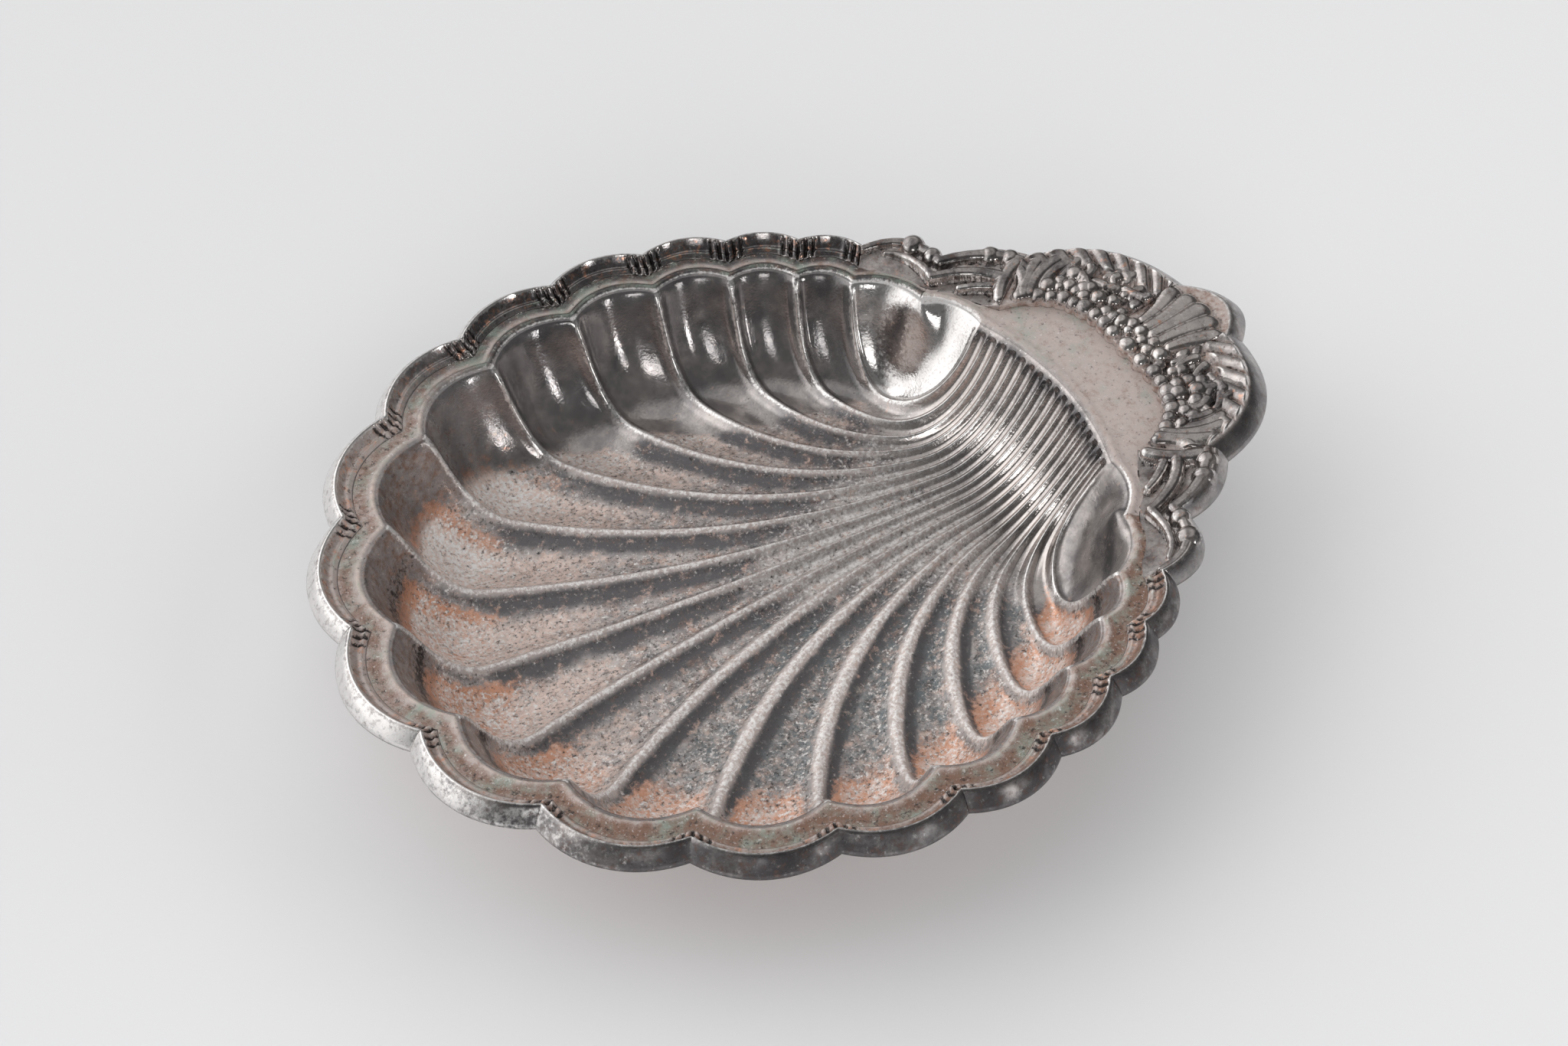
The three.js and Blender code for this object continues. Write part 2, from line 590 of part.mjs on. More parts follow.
const frontLobe = (FLUTE_COUNT - 1) / 2;
const sideSplit = Math.round(frontLobe / 2);
addPiece('shell_bowl', bowlGeometry(), SILVERED_SHEET);
addPiece('rim_front', rimGeometry(frontLobe, frontLobe + 1), CAST_MOUNT);
const rimFrontSide = rimGeometry(sideSplit, frontLobe);
const rimRearSide = rimGeometry(0, sideSplit);
const scroll = scrollGeometry();
const vine = vineGeometry();
addPiece('rim_left_front', rimFrontSide, CAST_MOUNT);
addPiece('rim_left_rear', rimRearSide, CAST_MOUNT);
addPiece('rim_right_front', mirrored(rimFrontSide), CAST_MOUNT);
addPiece('rim_right_rear', mirrored(rimRearSide), CAST_MOUNT);
addPiece('scroll_left', scroll, CAST_MOUNT);
addPiece('scroll_right', mirrored(scroll), CAST_MOUNT);
addPiece('vine_left', vine, CAST_MOUNT);
addPiece('vine_right', mirrored(vine), CAST_MOUNT);
addPiece('centre_leaf', centreGeometry(), CAST_MOUNT);
addPiece('foot_front', footGeometry(FRONT_FOOT_X, 0), TURNED_FOOT);
addPiece('foot_left', footGeometry(REAR_FOOT_X, REAR_FOOT_Y), TURNED_FOOT);
addPiece('foot_right', footGeometry(REAR_FOOT_X, -REAR_FOOT_Y), TURNED_FOOT);

export default dish;
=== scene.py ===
"""A tarnished silver-plated shell dish with a grape and leaf handle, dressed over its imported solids."""
import math

import bmesh
import bpy
import numpy as np
from bpy.props import FloatProperty, FloatVectorProperty, IntProperty, PointerProperty
from mathutils import Matrix, Vector
from mathutils.bvhtree import BVHTree


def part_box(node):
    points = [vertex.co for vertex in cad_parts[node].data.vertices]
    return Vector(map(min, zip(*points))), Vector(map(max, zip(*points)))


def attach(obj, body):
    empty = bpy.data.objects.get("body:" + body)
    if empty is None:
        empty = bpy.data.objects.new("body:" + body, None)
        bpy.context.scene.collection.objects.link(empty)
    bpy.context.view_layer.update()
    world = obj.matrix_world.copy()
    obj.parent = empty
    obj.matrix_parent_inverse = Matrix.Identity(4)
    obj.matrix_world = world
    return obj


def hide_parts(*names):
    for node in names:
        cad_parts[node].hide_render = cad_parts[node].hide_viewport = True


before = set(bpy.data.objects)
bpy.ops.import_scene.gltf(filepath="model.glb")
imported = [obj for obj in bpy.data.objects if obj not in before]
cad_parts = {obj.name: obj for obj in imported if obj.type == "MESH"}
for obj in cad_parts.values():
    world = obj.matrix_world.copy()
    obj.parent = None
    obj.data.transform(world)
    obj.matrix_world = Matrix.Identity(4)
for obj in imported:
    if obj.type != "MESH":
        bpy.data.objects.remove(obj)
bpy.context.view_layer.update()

bl_info = {
    "name": "Shell Dish",
    "version": (1, 0, 0),
    "blender": (4, 5, 0),
    "location": "View3D > Sidebar > Shell Dish",
    "description": "A stamped shell dish with cast rim, grape and leaf handle and ball feet",
    "category": "Object",
}

MM = 0.001

# Flutes in degrees of the mouth: narrow beside the handle and wide at the front
NARROW_FLUTE_ANGLE = 9.5
FRONT_FLUTE_EXTRA_ANGLE = 12
FLUTE_GROWTH_POWER = 1.6
RIB_HALF_SPREAD = 19.7
EAR_ANGLE = 31.6

# Depth of flutes and lobes as shares of their widths, and pull of the ridges' curves
MOUTH_LOBE_RATIO = 0.18
RIM_LOBE_RATIO = 0.155
FLUTE_DEPTH_RATIO = 0.17
RIB_DEPTH_RATIO = 0.2
EAR_DEPTH_RATIO = 0.12
RIDGE_START_PULL = 0.33
RIDGE_END_PULL = 0.34
RIDGE_END_PULL_AT_EARS = 0.67
WALL_CURVE = 2.2

# Handle notches on the +Y side: angle and reach of the outline, then of the inner edge, in degrees and mm
HANDLE_NOTCHES = {
    "ear": (31.6, 16.5, 31.6, 4.0),
    "leaf": (21.9, 28.5, 19.1, 6.7),
    "centre": (4.8, 48.3, 4.8, 19.4),
    "far_centre": (-4.8, 48.3, -4.8, 19.4),
}

# The side of the dish away from the light, where painted shade darkens the metal and less crust is laid
FAR_SIDE = np.array([0.5, 0.866])
# The side towards the light, where the rim's skirt gets a painted highlight and its rubbed crest is painted
# brighter
LEFT_SIDE = np.array([-0.866, 0.5])


def linear(hex_colour):
    """Linear RGB of an sRGB hex colour"""
    parts = [int(hex_colour[i:i + 2], 16) / 255 for i in (1, 3, 5)]
    return tuple(c / 12.92 if c <= 0.04045 else ((c + 0.055) / 1.055) ** 2.4 for c in parts)


def length_property(name, millimetres, description):
    return FloatProperty(name=name, description=description, default=millimetres * MM, min=0, unit="LENGTH")


def colour_property(name, hex_colour, description):
    return FloatVectorProperty(name=name, description=description, default=(*linear(hex_colour), 1),
                               subtype="COLOR", size=4, min=0, max=1)


def angle_property(name, degrees, description):
    return FloatProperty(name=name, description=description, default=math.radians(degrees), unit="ROTATION")


def power_property(name, watts, description):
    return FloatProperty(name=name, description=description, default=watts, unit="POWER")


class ShellDishSizes(bpy.types.PropertyGroup):
    """Sizes of the dish"""
    mouth_half_length: length_property("Mouth half length", 90, "From the mouth's middle to its end")
    mouth_half_width: length_property("Mouth half width", 86, "From the mouth's middle to its side")
    bowl_depth: length_property("Bowl depth", 24.5, "From the mouth down to the ridges of the floor")
    sheet: length_property("Sheet", 1.1, "Thickness of the stamped sheet")
    front_wall: length_property("Front wall", 20, "Length over which the fluted wall comes down")
    ribbed_wall: length_property("Ribbed wall", 30, "Length over which the ribs climb to the handle")
    lip_rounding: length_property("Lip rounding", 1.3, "Rounding of the mouth's edge")
    lip_height: length_property("Lip height", 0.7, "Raised bead round the mouth")
    lip_width: length_property("Lip width", 3, "Width of the raised bead round the mouth")
    flute_count: IntProperty(name="Flutes", description="Number of flutes and rim lobes", default=17, min=5)
    channel: length_property("Channel", 6, "Flat channel between the mouth and the rim moulding")
    rim_width: length_property("Rim width", 14, "From the mouth to the rim's outer edge")
    rim_height: length_property("Rim height", 3.8, "Height of the rim's crest over the channel")
    rim_skirt: length_property("Rim skirt", 3.6, "Width of the turned-down outer edge")
    rim_bead: length_property("Rim bead", 0.8, "Height of the bead along the foot of the rim's cove")
    sheet_edge_inset: length_property("Sheet inset", 2.4, "How far the sheet ends inside the rim's edge")
    handle_sheet_inset: length_property("Handle sheet inset", 5, "How far the sheet ends inside the handle")
    skirt_drop: length_property("Skirt drop", 1.4, "How far the outer edge comes down below the channel")
    skirt_edge: length_property("Skirt edge", 0.9, "Thickness of the outer edge")
    handle_height: length_property("Handle height", 4.2, "Height of the handle's crest over the plate")
    handle_skirt: length_property("Handle skirt", 5.5, "Width of the handle's turned-down outer edge")
    handle_toe: length_property("Handle toe", 1.7, "Height of the handle's inner edge")
    scroll_bulge: length_property("Scroll bulge", 5, "Swell of the first scroll's outline")
    volute_bulge: length_property("Volute bulge", 2.6, "Swell of the second scroll's outline")
    leaf_bulge: length_property("Leaf bulge", 7.8, "Swell of the leaf lobe's outline")
    leaf_toe_bulge: length_property("Leaf toe bulge", 6, "Swell of the leaf lobe's inner edge")
    centre_bulge: length_property("Centre bulge", 7, "Swell of the handle's tip")
    bead: length_property("Ridge bead", 1.2, "Half width of the bead along a ridge where the flutes are wide")
    bead_height: length_property("Bead height", 0.6, "How far the bead stands out of the ridge")
    rib_end: length_property("Rib end", 2.2, "Smooth band between the ends of the ribs and the mouth")
    tick_pitch: length_property("Tick pitch", 1.8, "Spacing of the grooves across the rim at a notch")
    tick_reach: length_property("Tick reach", 5, "How far the grooves spread to each side of a notch")
    tick_depth: length_property("Tick depth", 1.2, "Depth of the grooves across the rim")
    gadroon: length_property("Gadroon pitch", 6, "Spacing of the slanting lobes round the handle's edge")
    gadroon_band: length_property("Gadroon band", 7.5, "Width of the band of slanting lobes inside the crest")


class ShellDishFinish(bpy.types.PropertyGroup):
    """Colours of the dish and the floor"""
    # Polish is laid as rubbed silver and also as a painted highlight on the rim's skirt and crest, and on the
    # mouth's edge on the far side
    polish: colour_property("Polish", "#e6e3e1", "Silver plate that hands keep bright")
    silver: colour_property("Silver", "#c6beba", "Worn silver plate")
    tarnish: colour_property("Tarnish", "#8e8b8b", "Grey tarnish")
    # Dark is laid as tarnish and also as painted shade beside the ridges, on the far side, down the far ear
    # and on the rim's skirt away from the light
    dark: colour_property("Dark", "#5d5b5d", "Dark glossy tarnish")
    sulphide: colour_property("Sulphide", "#383332", "Black tarnish in the hollows")
    copper: colour_property("Copper", "#ce987c", "Bare copper where the plate is gone")
    steel: colour_property("Steel blue", "#626a6d", "Blue tarnish beside the ridges")
    crust: colour_property("Crust", "#b6a9a4", "Dry pale crust in the channel and on the plate")
    blush: colour_property("Blush", "#dac5bb", "Thin silver with the copper showing through")
    # Umber is laid as oxide and also as part of the painted shade on the rim's skirt away from the light
    umber: colour_property("Umber", "#86695b", "Brown copper oxide in the channel")
    verdigris: colour_property("Verdigris", "#98a298", "Pale green copper salts")
    floor: colour_property("Floor", "#d9d9da", "Pale paper floor")


class ShellDishStage(bpy.types.PropertyGroup):
    """Camera and light"""
    lens: FloatProperty(name="Lens", description="Focal length on a 36 mm sensor", default=70, unit="CAMERA")
    azimuth: angle_property("Azimuth", -30.11, "Camera's turn from the front")
    elevation: angle_property("Elevation", 47.32, "Camera's height angle")
    roll: angle_property("Roll", -1.27, "Camera's lean")
    distance: length_property("Distance", 733.5, "From the camera to the point it looks at")
    aim: FloatVectorProperty(name="Aim", description="Point that the camera looks at", unit="LENGTH",
                             default=(-13.27 * MM, -6.03 * MM, 39.52 * MM))
    overhead: power_property("Overhead", 2, "Power of the overhead softbox")
    fill: power_property("Fill", 8, "Power of each softbox round the floor")
    strip: power_property("Strip", 1.2, "Power of the strip light right of the camera")
    front: power_property("Front", 1.3, "Power of the softbox behind the camera")


class ShellDish(bpy.types.PropertyGroup):
    """All settings of the shell dish"""
    sizes: PointerProperty(type=ShellDishSizes)
    finish: PointerProperty(type=ShellDishFinish)
    stage: PointerProperty(type=ShellDishStage)


def arch(share):
    return 4 * share * (1 - share)


def ease(value, low, high):
    """0 below low, 1 above high, smooth between"""
    x = np.clip((value - low) / (high - low), 0, 1)
    return x * x * (3 - 2 * x)


def hump(value, middle, half_width):
    """1 at the middle, fading on both sides"""
    return np.exp(-((value - middle) / half_width) ** 2)


def unit(vectors):
    return vectors / np.maximum(np.linalg.norm(vectors, axis=-1, keepdims=True), 1e-12)


def bulged_line(f, ends, bulge):
    """Points at shares of a line between two ends that swells to its left"""
    across = ends[1] - ends[0]
    outward = unit(np.array([-across[1], across[0]]))
    return ends[0] + across * f[:, None] + outward * (bulge * arch(f))[:, None]


def far_share(points):
    """0 on the near half of the dish, 1 well on the far side"""
    return ease(points[..., :2] @ FAR_SIDE, 15 * MM, 75 * MM)


# Lobes of the handle's outline, from the rim to the tip
SCROLL, VOLUTE, LEAF, CENTRE = range(4)
CURVE_STEPS = 121


class ShellPlan:
    """Plan lines of the dish in metres from the middle of the mouth, +X to the handle, mouth at height 0"""

    def __init__(self, sizes):
        self.sizes = sizes
        self.flutes = sizes.flute_count
        middle = (np.arange(self.flutes) + 0.5) / self.flutes
        angles = NARROW_FLUTE_ANGLE + FRONT_FLUTE_EXTRA_ANGLE * np.sin(np.pi * middle) ** FLUTE_GROWTH_POWER
        self.ridge_angles = 180 - angles.sum() / 2 + np.concatenate(([0], np.cumsum(angles)))
        start = (self.ridge_angles[0], sizes.rim_width / MM, self.ridge_angles[0], sizes.channel / MM)
        self.notches = [start, *HANDLE_NOTCHES.values()]
        self.bulges = [sizes.scroll_bulge, sizes.volute_bulge, sizes.leaf_bulge, sizes.centre_bulge]
        self.toe_bulges = [0, 0, sizes.leaf_toe_bulge, 0]
        front = self.rim_point(np.array([self.flutes / 2]), sizes.rim_width)[0, 0]
        tip = self.handle_outline(CENTRE, np.array([0.5]), 0)[0, 0]
        self.place = np.array([-(front + tip) / 2, 0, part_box("shell_bowl")[1].z])

    def mouth(self, angle):
        """Point on the mouth and its outward direction"""
        a = np.radians(angle)
        half_length, half_width = self.sizes.mouth_half_length, self.sizes.mouth_half_width
        point = np.stack([half_length * np.cos(a), half_width * np.sin(a)], -1)
        return point, unit(np.stack([half_width * np.cos(a), half_length * np.sin(a)], -1))

    def beyond_mouth(self, angle, reach):
        point, outward = self.mouth(angle)
        return point + outward * np.asarray(reach)[..., None]

    def rim_angle(self, s):
        """Angle of a flute coordinate: ridges at 0, 1, 2 and on, one more at each end over the ears"""
        return np.interp(s, np.arange(-1, self.flutes + 2), [EAR_ANGLE, *self.ridge_angles, 360 - EAR_ANGLE])

    def rib_angle(self, s):
        return np.interp(s, [-1, 0, self.flutes, self.flutes + 1],
                         [EAR_ANGLE, RIB_HALF_SPREAD, -RIB_HALF_SPREAD, -EAR_ANGLE])

    def flute_of(self, s):
        return np.clip(np.floor(s).astype(int), 0, self.flutes - 1)

    def chord(self, flute):
        """Width of a flute at the mouth"""
        ends, _ = self.mouth(self.ridge_angles)
        return np.linalg.norm(ends[flute] - ends[flute + 1], axis=-1)

    def rim_point(self, s, reach):
        """Outline of the rim's lobes at a distance beyond the mouth"""
        flute = self.flute_of(s)
        ratio = MOUTH_LOBE_RATIO + (RIM_LOBE_RATIO - MOUTH_LOBE_RATIO) * reach / self.sizes.rim_width
        return self.beyond_mouth(self.rim_angle(s), reach + ratio * self.chord(flute) * arch(s - flute))

    def ridge_line(self, s, shares):
        """Points, headings and length of a line along the flutes, at shares of its length"""
        start, start_out = self.mouth(self.rim_angle(s))
        end, end_out = self.mouth(self.rib_angle(s))
        span = np.linalg.norm(end - start)
        aside = min(abs(2 * s / self.flutes - 1), 1)
        end_pull = RIDGE_END_PULL + (RIDGE_END_PULL_AT_EARS - RIDGE_END_PULL) * aside ** 2
        pulled = [start, start - start_out * RIDGE_START_PULL * span, end - end_out * end_pull * span, end]

        def curve(t):
            weights = np.stack([(1 - t) ** 3, 3 * t * (1 - t) ** 2, 3 * t ** 2 * (1 - t), t ** 3], -1)
            return weights @ np.array(pulled)

        t = np.linspace(0, 1, CURVE_STEPS)
        run = np.concatenate(([0], np.cumsum(np.linalg.norm(np.diff(curve(t), axis=0), axis=1))))
        at = np.interp(shares * run[-1], run, t)
        step = 1e-3
        heading = unit(curve(np.minimum(at + step, 1)) - curve(np.maximum(at - step, 0)))
        return curve(at), heading, run[-1]

    def handle_outline(self, lobe, f, inset):
        ends = [self.beyond_mouth(n[0], n[1] * MM - inset) for n in self.notches[lobe:lobe + 2]]
        return bulged_line(f, ends, self.bulges[lobe])

    def handle_toe(self, lobe, f):
        """Inner edge of the handle's mounts"""
        ends = [self.beyond_mouth(n[2], n[3] * MM) for n in self.notches[lobe:lobe + 2]]
        return bulged_line(f, ends, self.toe_bulges[lobe])

    def sheet_edge(self, angle):
        """Edge of the stamped sheet under the handle"""
        size = abs(angle)
        lobe = next(i for i in range(len(self.bulges)) if size >= self.notches[i + 1][0] - 1e-9)
        f = (self.notches[lobe][0] - size) / (self.notches[lobe][0] - self.notches[lobe + 1][0])
        inset = self.sizes.handle_sheet_inset
        if lobe == SCROLL:
            inset = self.sizes.sheet_edge_inset + (inset - self.sizes.sheet_edge_inset) * f
        edge = self.handle_outline(lobe, np.array([f]), inset)[0]
        return edge * np.array([1, -1 if angle < 0 else 1])


def shell_settings(context):
    return context.scene.shell_dish


# Points closer than this become one, and shorter edges than this are taken out
MERGE_DISTANCE = 0.002 * MM
SLIVER_LENGTH = 0.0005 * MM


def grid_mesh(points, marks, closed):
    """Mesh over points by column and row that carries marks by name, with its open ends capped if asked"""
    columns, rows = points.shape[:2]
    bm = bmesh.new()
    bmesh.ops.create_grid(bm, x_segments=columns - 1, y_segments=rows - 1, size=1)
    layers = {}
    for name, mark in marks.items():
        layers[bm.verts.layers.float.new(name)] = np.broadcast_to(mark, (columns, rows))
    for vertex in bm.verts:
        column = round((vertex.co.x + 1) / 2 * (columns - 1))
        row = round((vertex.co.y + 1) / 2 * (rows - 1))
        vertex.co = points[column, row]
        for layer, mark in layers.items():
            vertex[layer] = mark[column, row]
    bmesh.ops.remove_doubles(bm, verts=bm.verts, dist=MERGE_DISTANCE)
    bmesh.ops.dissolve_degenerate(bm, edges=bm.edges, dist=SLIVER_LENGTH)
    if closed:
        bmesh.ops.holes_fill(bm, edges=[edge for edge in bm.edges if edge.is_boundary], sides=0)
    bmesh.ops.recalc_face_normals(bm, faces=bm.faces)
    return bm


def make_piece(name, bm, material, slot, *nodes):
    """Object from a bmesh, riding on the dish in place of its solids"""
    mesh = bpy.data.meshes.new(name)
    for face in bm.faces:
        face.smooth = True
    bm.to_mesh(mesh)
    bm.free()
    mesh.materials.append(material)
    piece = bpy.data.objects.new(name, mesh)
    bpy.context.scene.collection.objects.link(piece)
    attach(piece, "root")
    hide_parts(*nodes)
    return piece


def result_of(node):
    """Socket on which a node gives its result"""
    return next(output for output in node.outputs if output.enabled)


def add_node(tree, kind, inputs=(), **settings):
    """Add a node with its settings, its inputs by place or name given as values, nodes or sockets"""
    node = tree.nodes.new(kind)
    for name, value in settings.items():
        setattr(node, name, value)
    for name, value in inputs.items() if isinstance(inputs, dict) else enumerate(inputs):
        if isinstance(value, bpy.types.Node):
            value = result_of(value)
        if isinstance(value, bpy.types.NodeSocket):
            tree.links.new(value, node.inputs[name])
        else:
            node.inputs[name].default_value = value
    return node


# A patch shows where half its mark and a noise add up to this level, so a mark of 0.5 covers half the metal
PATCH_LEVEL = 0.75


def lay_patches(tree, place, colour, layers):
    """Colour with patches laid over it, as far as their marks say, with edges broken by grain"""
    for mark, paint, spot, softness in layers:
        cover = add_node(tree, "ShaderNodeAttribute", attribute_name=mark).outputs["Fac"]
        grain = add_node(tree, "ShaderNodeTexNoise",
                         {"Vector": place, "Scale": 1 / (spot * MM), "Detail": 5, "Roughness": 0.72})
        level = add_node(tree, "ShaderNodeMath", (cover, 0.5, grain), operation="MULTIPLY_ADD")
        patch = add_node(tree, "ShaderNodeMapRange", (level, PATCH_LEVEL - softness, PATCH_LEVEL + softness),
                         interpolation_type="SMOOTHSTEP")
        colour = add_node(tree, "ShaderNodeMix", {0: patch, 6: colour, 7: paint}, data_type="RGBA")
    return colour


def worn_metal(name, finish, layers, tooth):
    """Metal under patches of tarnish and crust, some of them painted shade and painted highlights: dry marks
    turn it to earth, dull marks take its shine
    """
    material = bpy.data.materials.new(name)
    material.use_nodes = True
    tree = material.node_tree
    shader = tree.nodes["Principled BSDF"]
    place = add_node(tree, "ShaderNodeTexCoord").outputs["Object"]
    paints = [(mark, getattr(finish, paint), spot, softness) for mark, paint, spot, softness in layers]
    colour = lay_patches(tree, place, finish.silver, paints)
    dry = add_node(tree, "ShaderNodeAttribute", attribute_name="dry").outputs["Fac"]
    dull = add_node(tree, "ShaderNodeAttribute", attribute_name="dull").outputs["Fac"]
    fine = add_node(tree, "ShaderNodeTexNoise", {"Vector": place, "Scale": 1 / (0.6 * MM), "Detail": 3})
    cloud = add_node(tree, "ShaderNodeTexNoise", {"Vector": place, "Scale": 1 / (4 * MM), "Detail": 4})
    metal = add_node(tree, "ShaderNodeMapRange", (dry, 0, 1, 1, 0.1))
    smear = add_node(tree, "ShaderNodeMapRange", (cloud, 0.35, 0.65, -0.05, 0.09))
    rough = add_node(tree, "ShaderNodeMath", (dull, smear), operation="ADD")
    relief = add_node(tree, "ShaderNodeMath", (fine, 0.6, cloud), operation="MULTIPLY_ADD")
    bump = add_node(tree, "ShaderNodeBump", {"Height": relief, "Strength": tooth, "Distance": 0.3 * MM})
    finished = {"Base Color": colour, "Metallic": metal, "Roughness": rough, "Normal": bump}
    for socket, node in finished.items():
        tree.links.new(result_of(node), shader.inputs[socket])
    return material


# Patches from the metal up: mark, colour, size of a spot in mm and softness of its edge
SHEET_LAYERS = (
    ("tarnish", "tarnish", 14, 0.2), ("dark", "dark", 10, 0.22), ("copper", "copper", 3, 0.13),
    ("steel", "steel", 5, 0.18), ("crust", "crust", 2.5, 0.2), ("blush", "blush", 3, 0.16),
    ("umber", "umber", 2, 0.17), ("green", "verdigris", 6, 0.16), ("black", "sulphide", 1.1, 0.1),
    ("bright", "polish", 1, 0.11),
)
MOUNT_LAYERS = (
    ("tarnish", "tarnish", 9, 0.2), ("dark", "dark", 8, 0.22), ("crust", "crust", 2.5, 0.2),
    ("umber", "umber", 2, 0.17), ("green", "verdigris", 6, 0.16), ("copper", "copper", 2.5, 0.1),
    ("black", "sulphide", 1.2, 0.1), ("bright", "polish", 1.5, 0.14),
)
FOOT_LAYERS = (("tarnish", "tarnish", 3, 0.2), ("black", "sulphide", 0.8, 0.1))


def silvered_sheet(finish):
    """Silver plate worn through on stamped copper: glossy walls, dry speckled floor, pale crusted ledge"""
    return worn_metal("worn silver plate on copper sheet", finish, SHEET_LAYERS, tooth=0.2)


def cast_mount(finish):
    """Silver plate on cast white metal: dark and glossy where it stands out, pale dried polish in crevices"""
    name = "silver plate on cast white metal"
    return bpy.data.materials.get(name) or worn_metal(name, finish, MOUNT_LAYERS, tooth=0.12)


def turned_foot(finish):
    """Silver plate on turned brass: smooth, and dull from standing"""
    return worn_metal("silver plate on turned brass", finish, FOOT_LAYERS, tooth=0.1)


def paper_floor(finish):
    """Matt coated paper: plain and pale, with a soft tooth"""
    material = bpy.data.materials.new("matt coated paper")
    material.use_nodes = True
    tree = material.node_tree
    shader = tree.nodes["Principled BSDF"]
    place = add_node(tree, "ShaderNodeTexCoord").outputs["Object"]
    shader.inputs["Base Color"].default_value = finish.floor
    shader.inputs["Roughness"].default_value = 0.9
    tooth = add_node(tree, "ShaderNodeTexNoise", {"Vector": place, "Scale": 1 / (1.5 * MM), "Detail": 2})
    bump = add_node(tree, "ShaderNodeBump", {"Height": tooth, "Strength": 0.08, "Distance": 0.3 * MM})
    tree.links.new(bump.outputs["Normal"], shader.inputs["Normal"])
    return material


# Stretches of the flute coordinate, which runs from the handle round the far side, front and near side:
# where the flutes behind give way, where bare copper sets in, and where the front sets in
BEHIND_STRETCH = (2, 6.5)
BARE_STRETCH = (6.3, 8)
FRONT_STRETCH = (8.5, 11)

# Points over the sheet: steps across a flute, rows down a wall and over the floor, and shares of the ledges
STEPS_PER_FLUTE = 20
WALL_ROWS = 30
WALL_ROW_CLUSTER = 1.6
LONGEST_WALL_SHARE = 0.4
FLOOR_ROWS = 40
LEDGE_SHARES = np.array([1, 0.84, 0.68, 0.54, 0.43, 0.34, 0.27, 0.21, 0.16, 0.12, 0.08, 0.04])
PLATE_SHARES = np.array([0.03, 0.06, 0.09, 0.13, 0.17, 0.22, 0.28, 0.38, 0.5, 0.62, 0.74, 0.87, 1])
COLUMN_CLUSTER = 0.6
# The line at the corner of an ear has no length, so rows are set this far apart before slopes are taken
HAIR = 1e-9


def clustered(steps):
    """Steps drawn together towards the whole numbers, where the ridges and notches are"""
    return steps - COLUMN_CLUSTER * np.sin(2 * np.pi * steps) / (2 * np.pi)


def wall_drop(distance, width, rounding):
    """Share of the depth reached at a distance from the mouth"""
    rounded = np.hypot(distance, rounding) - rounding
    return 1 - (1 - np.clip(rounded / width, 0, 1)) ** WALL_CURVE


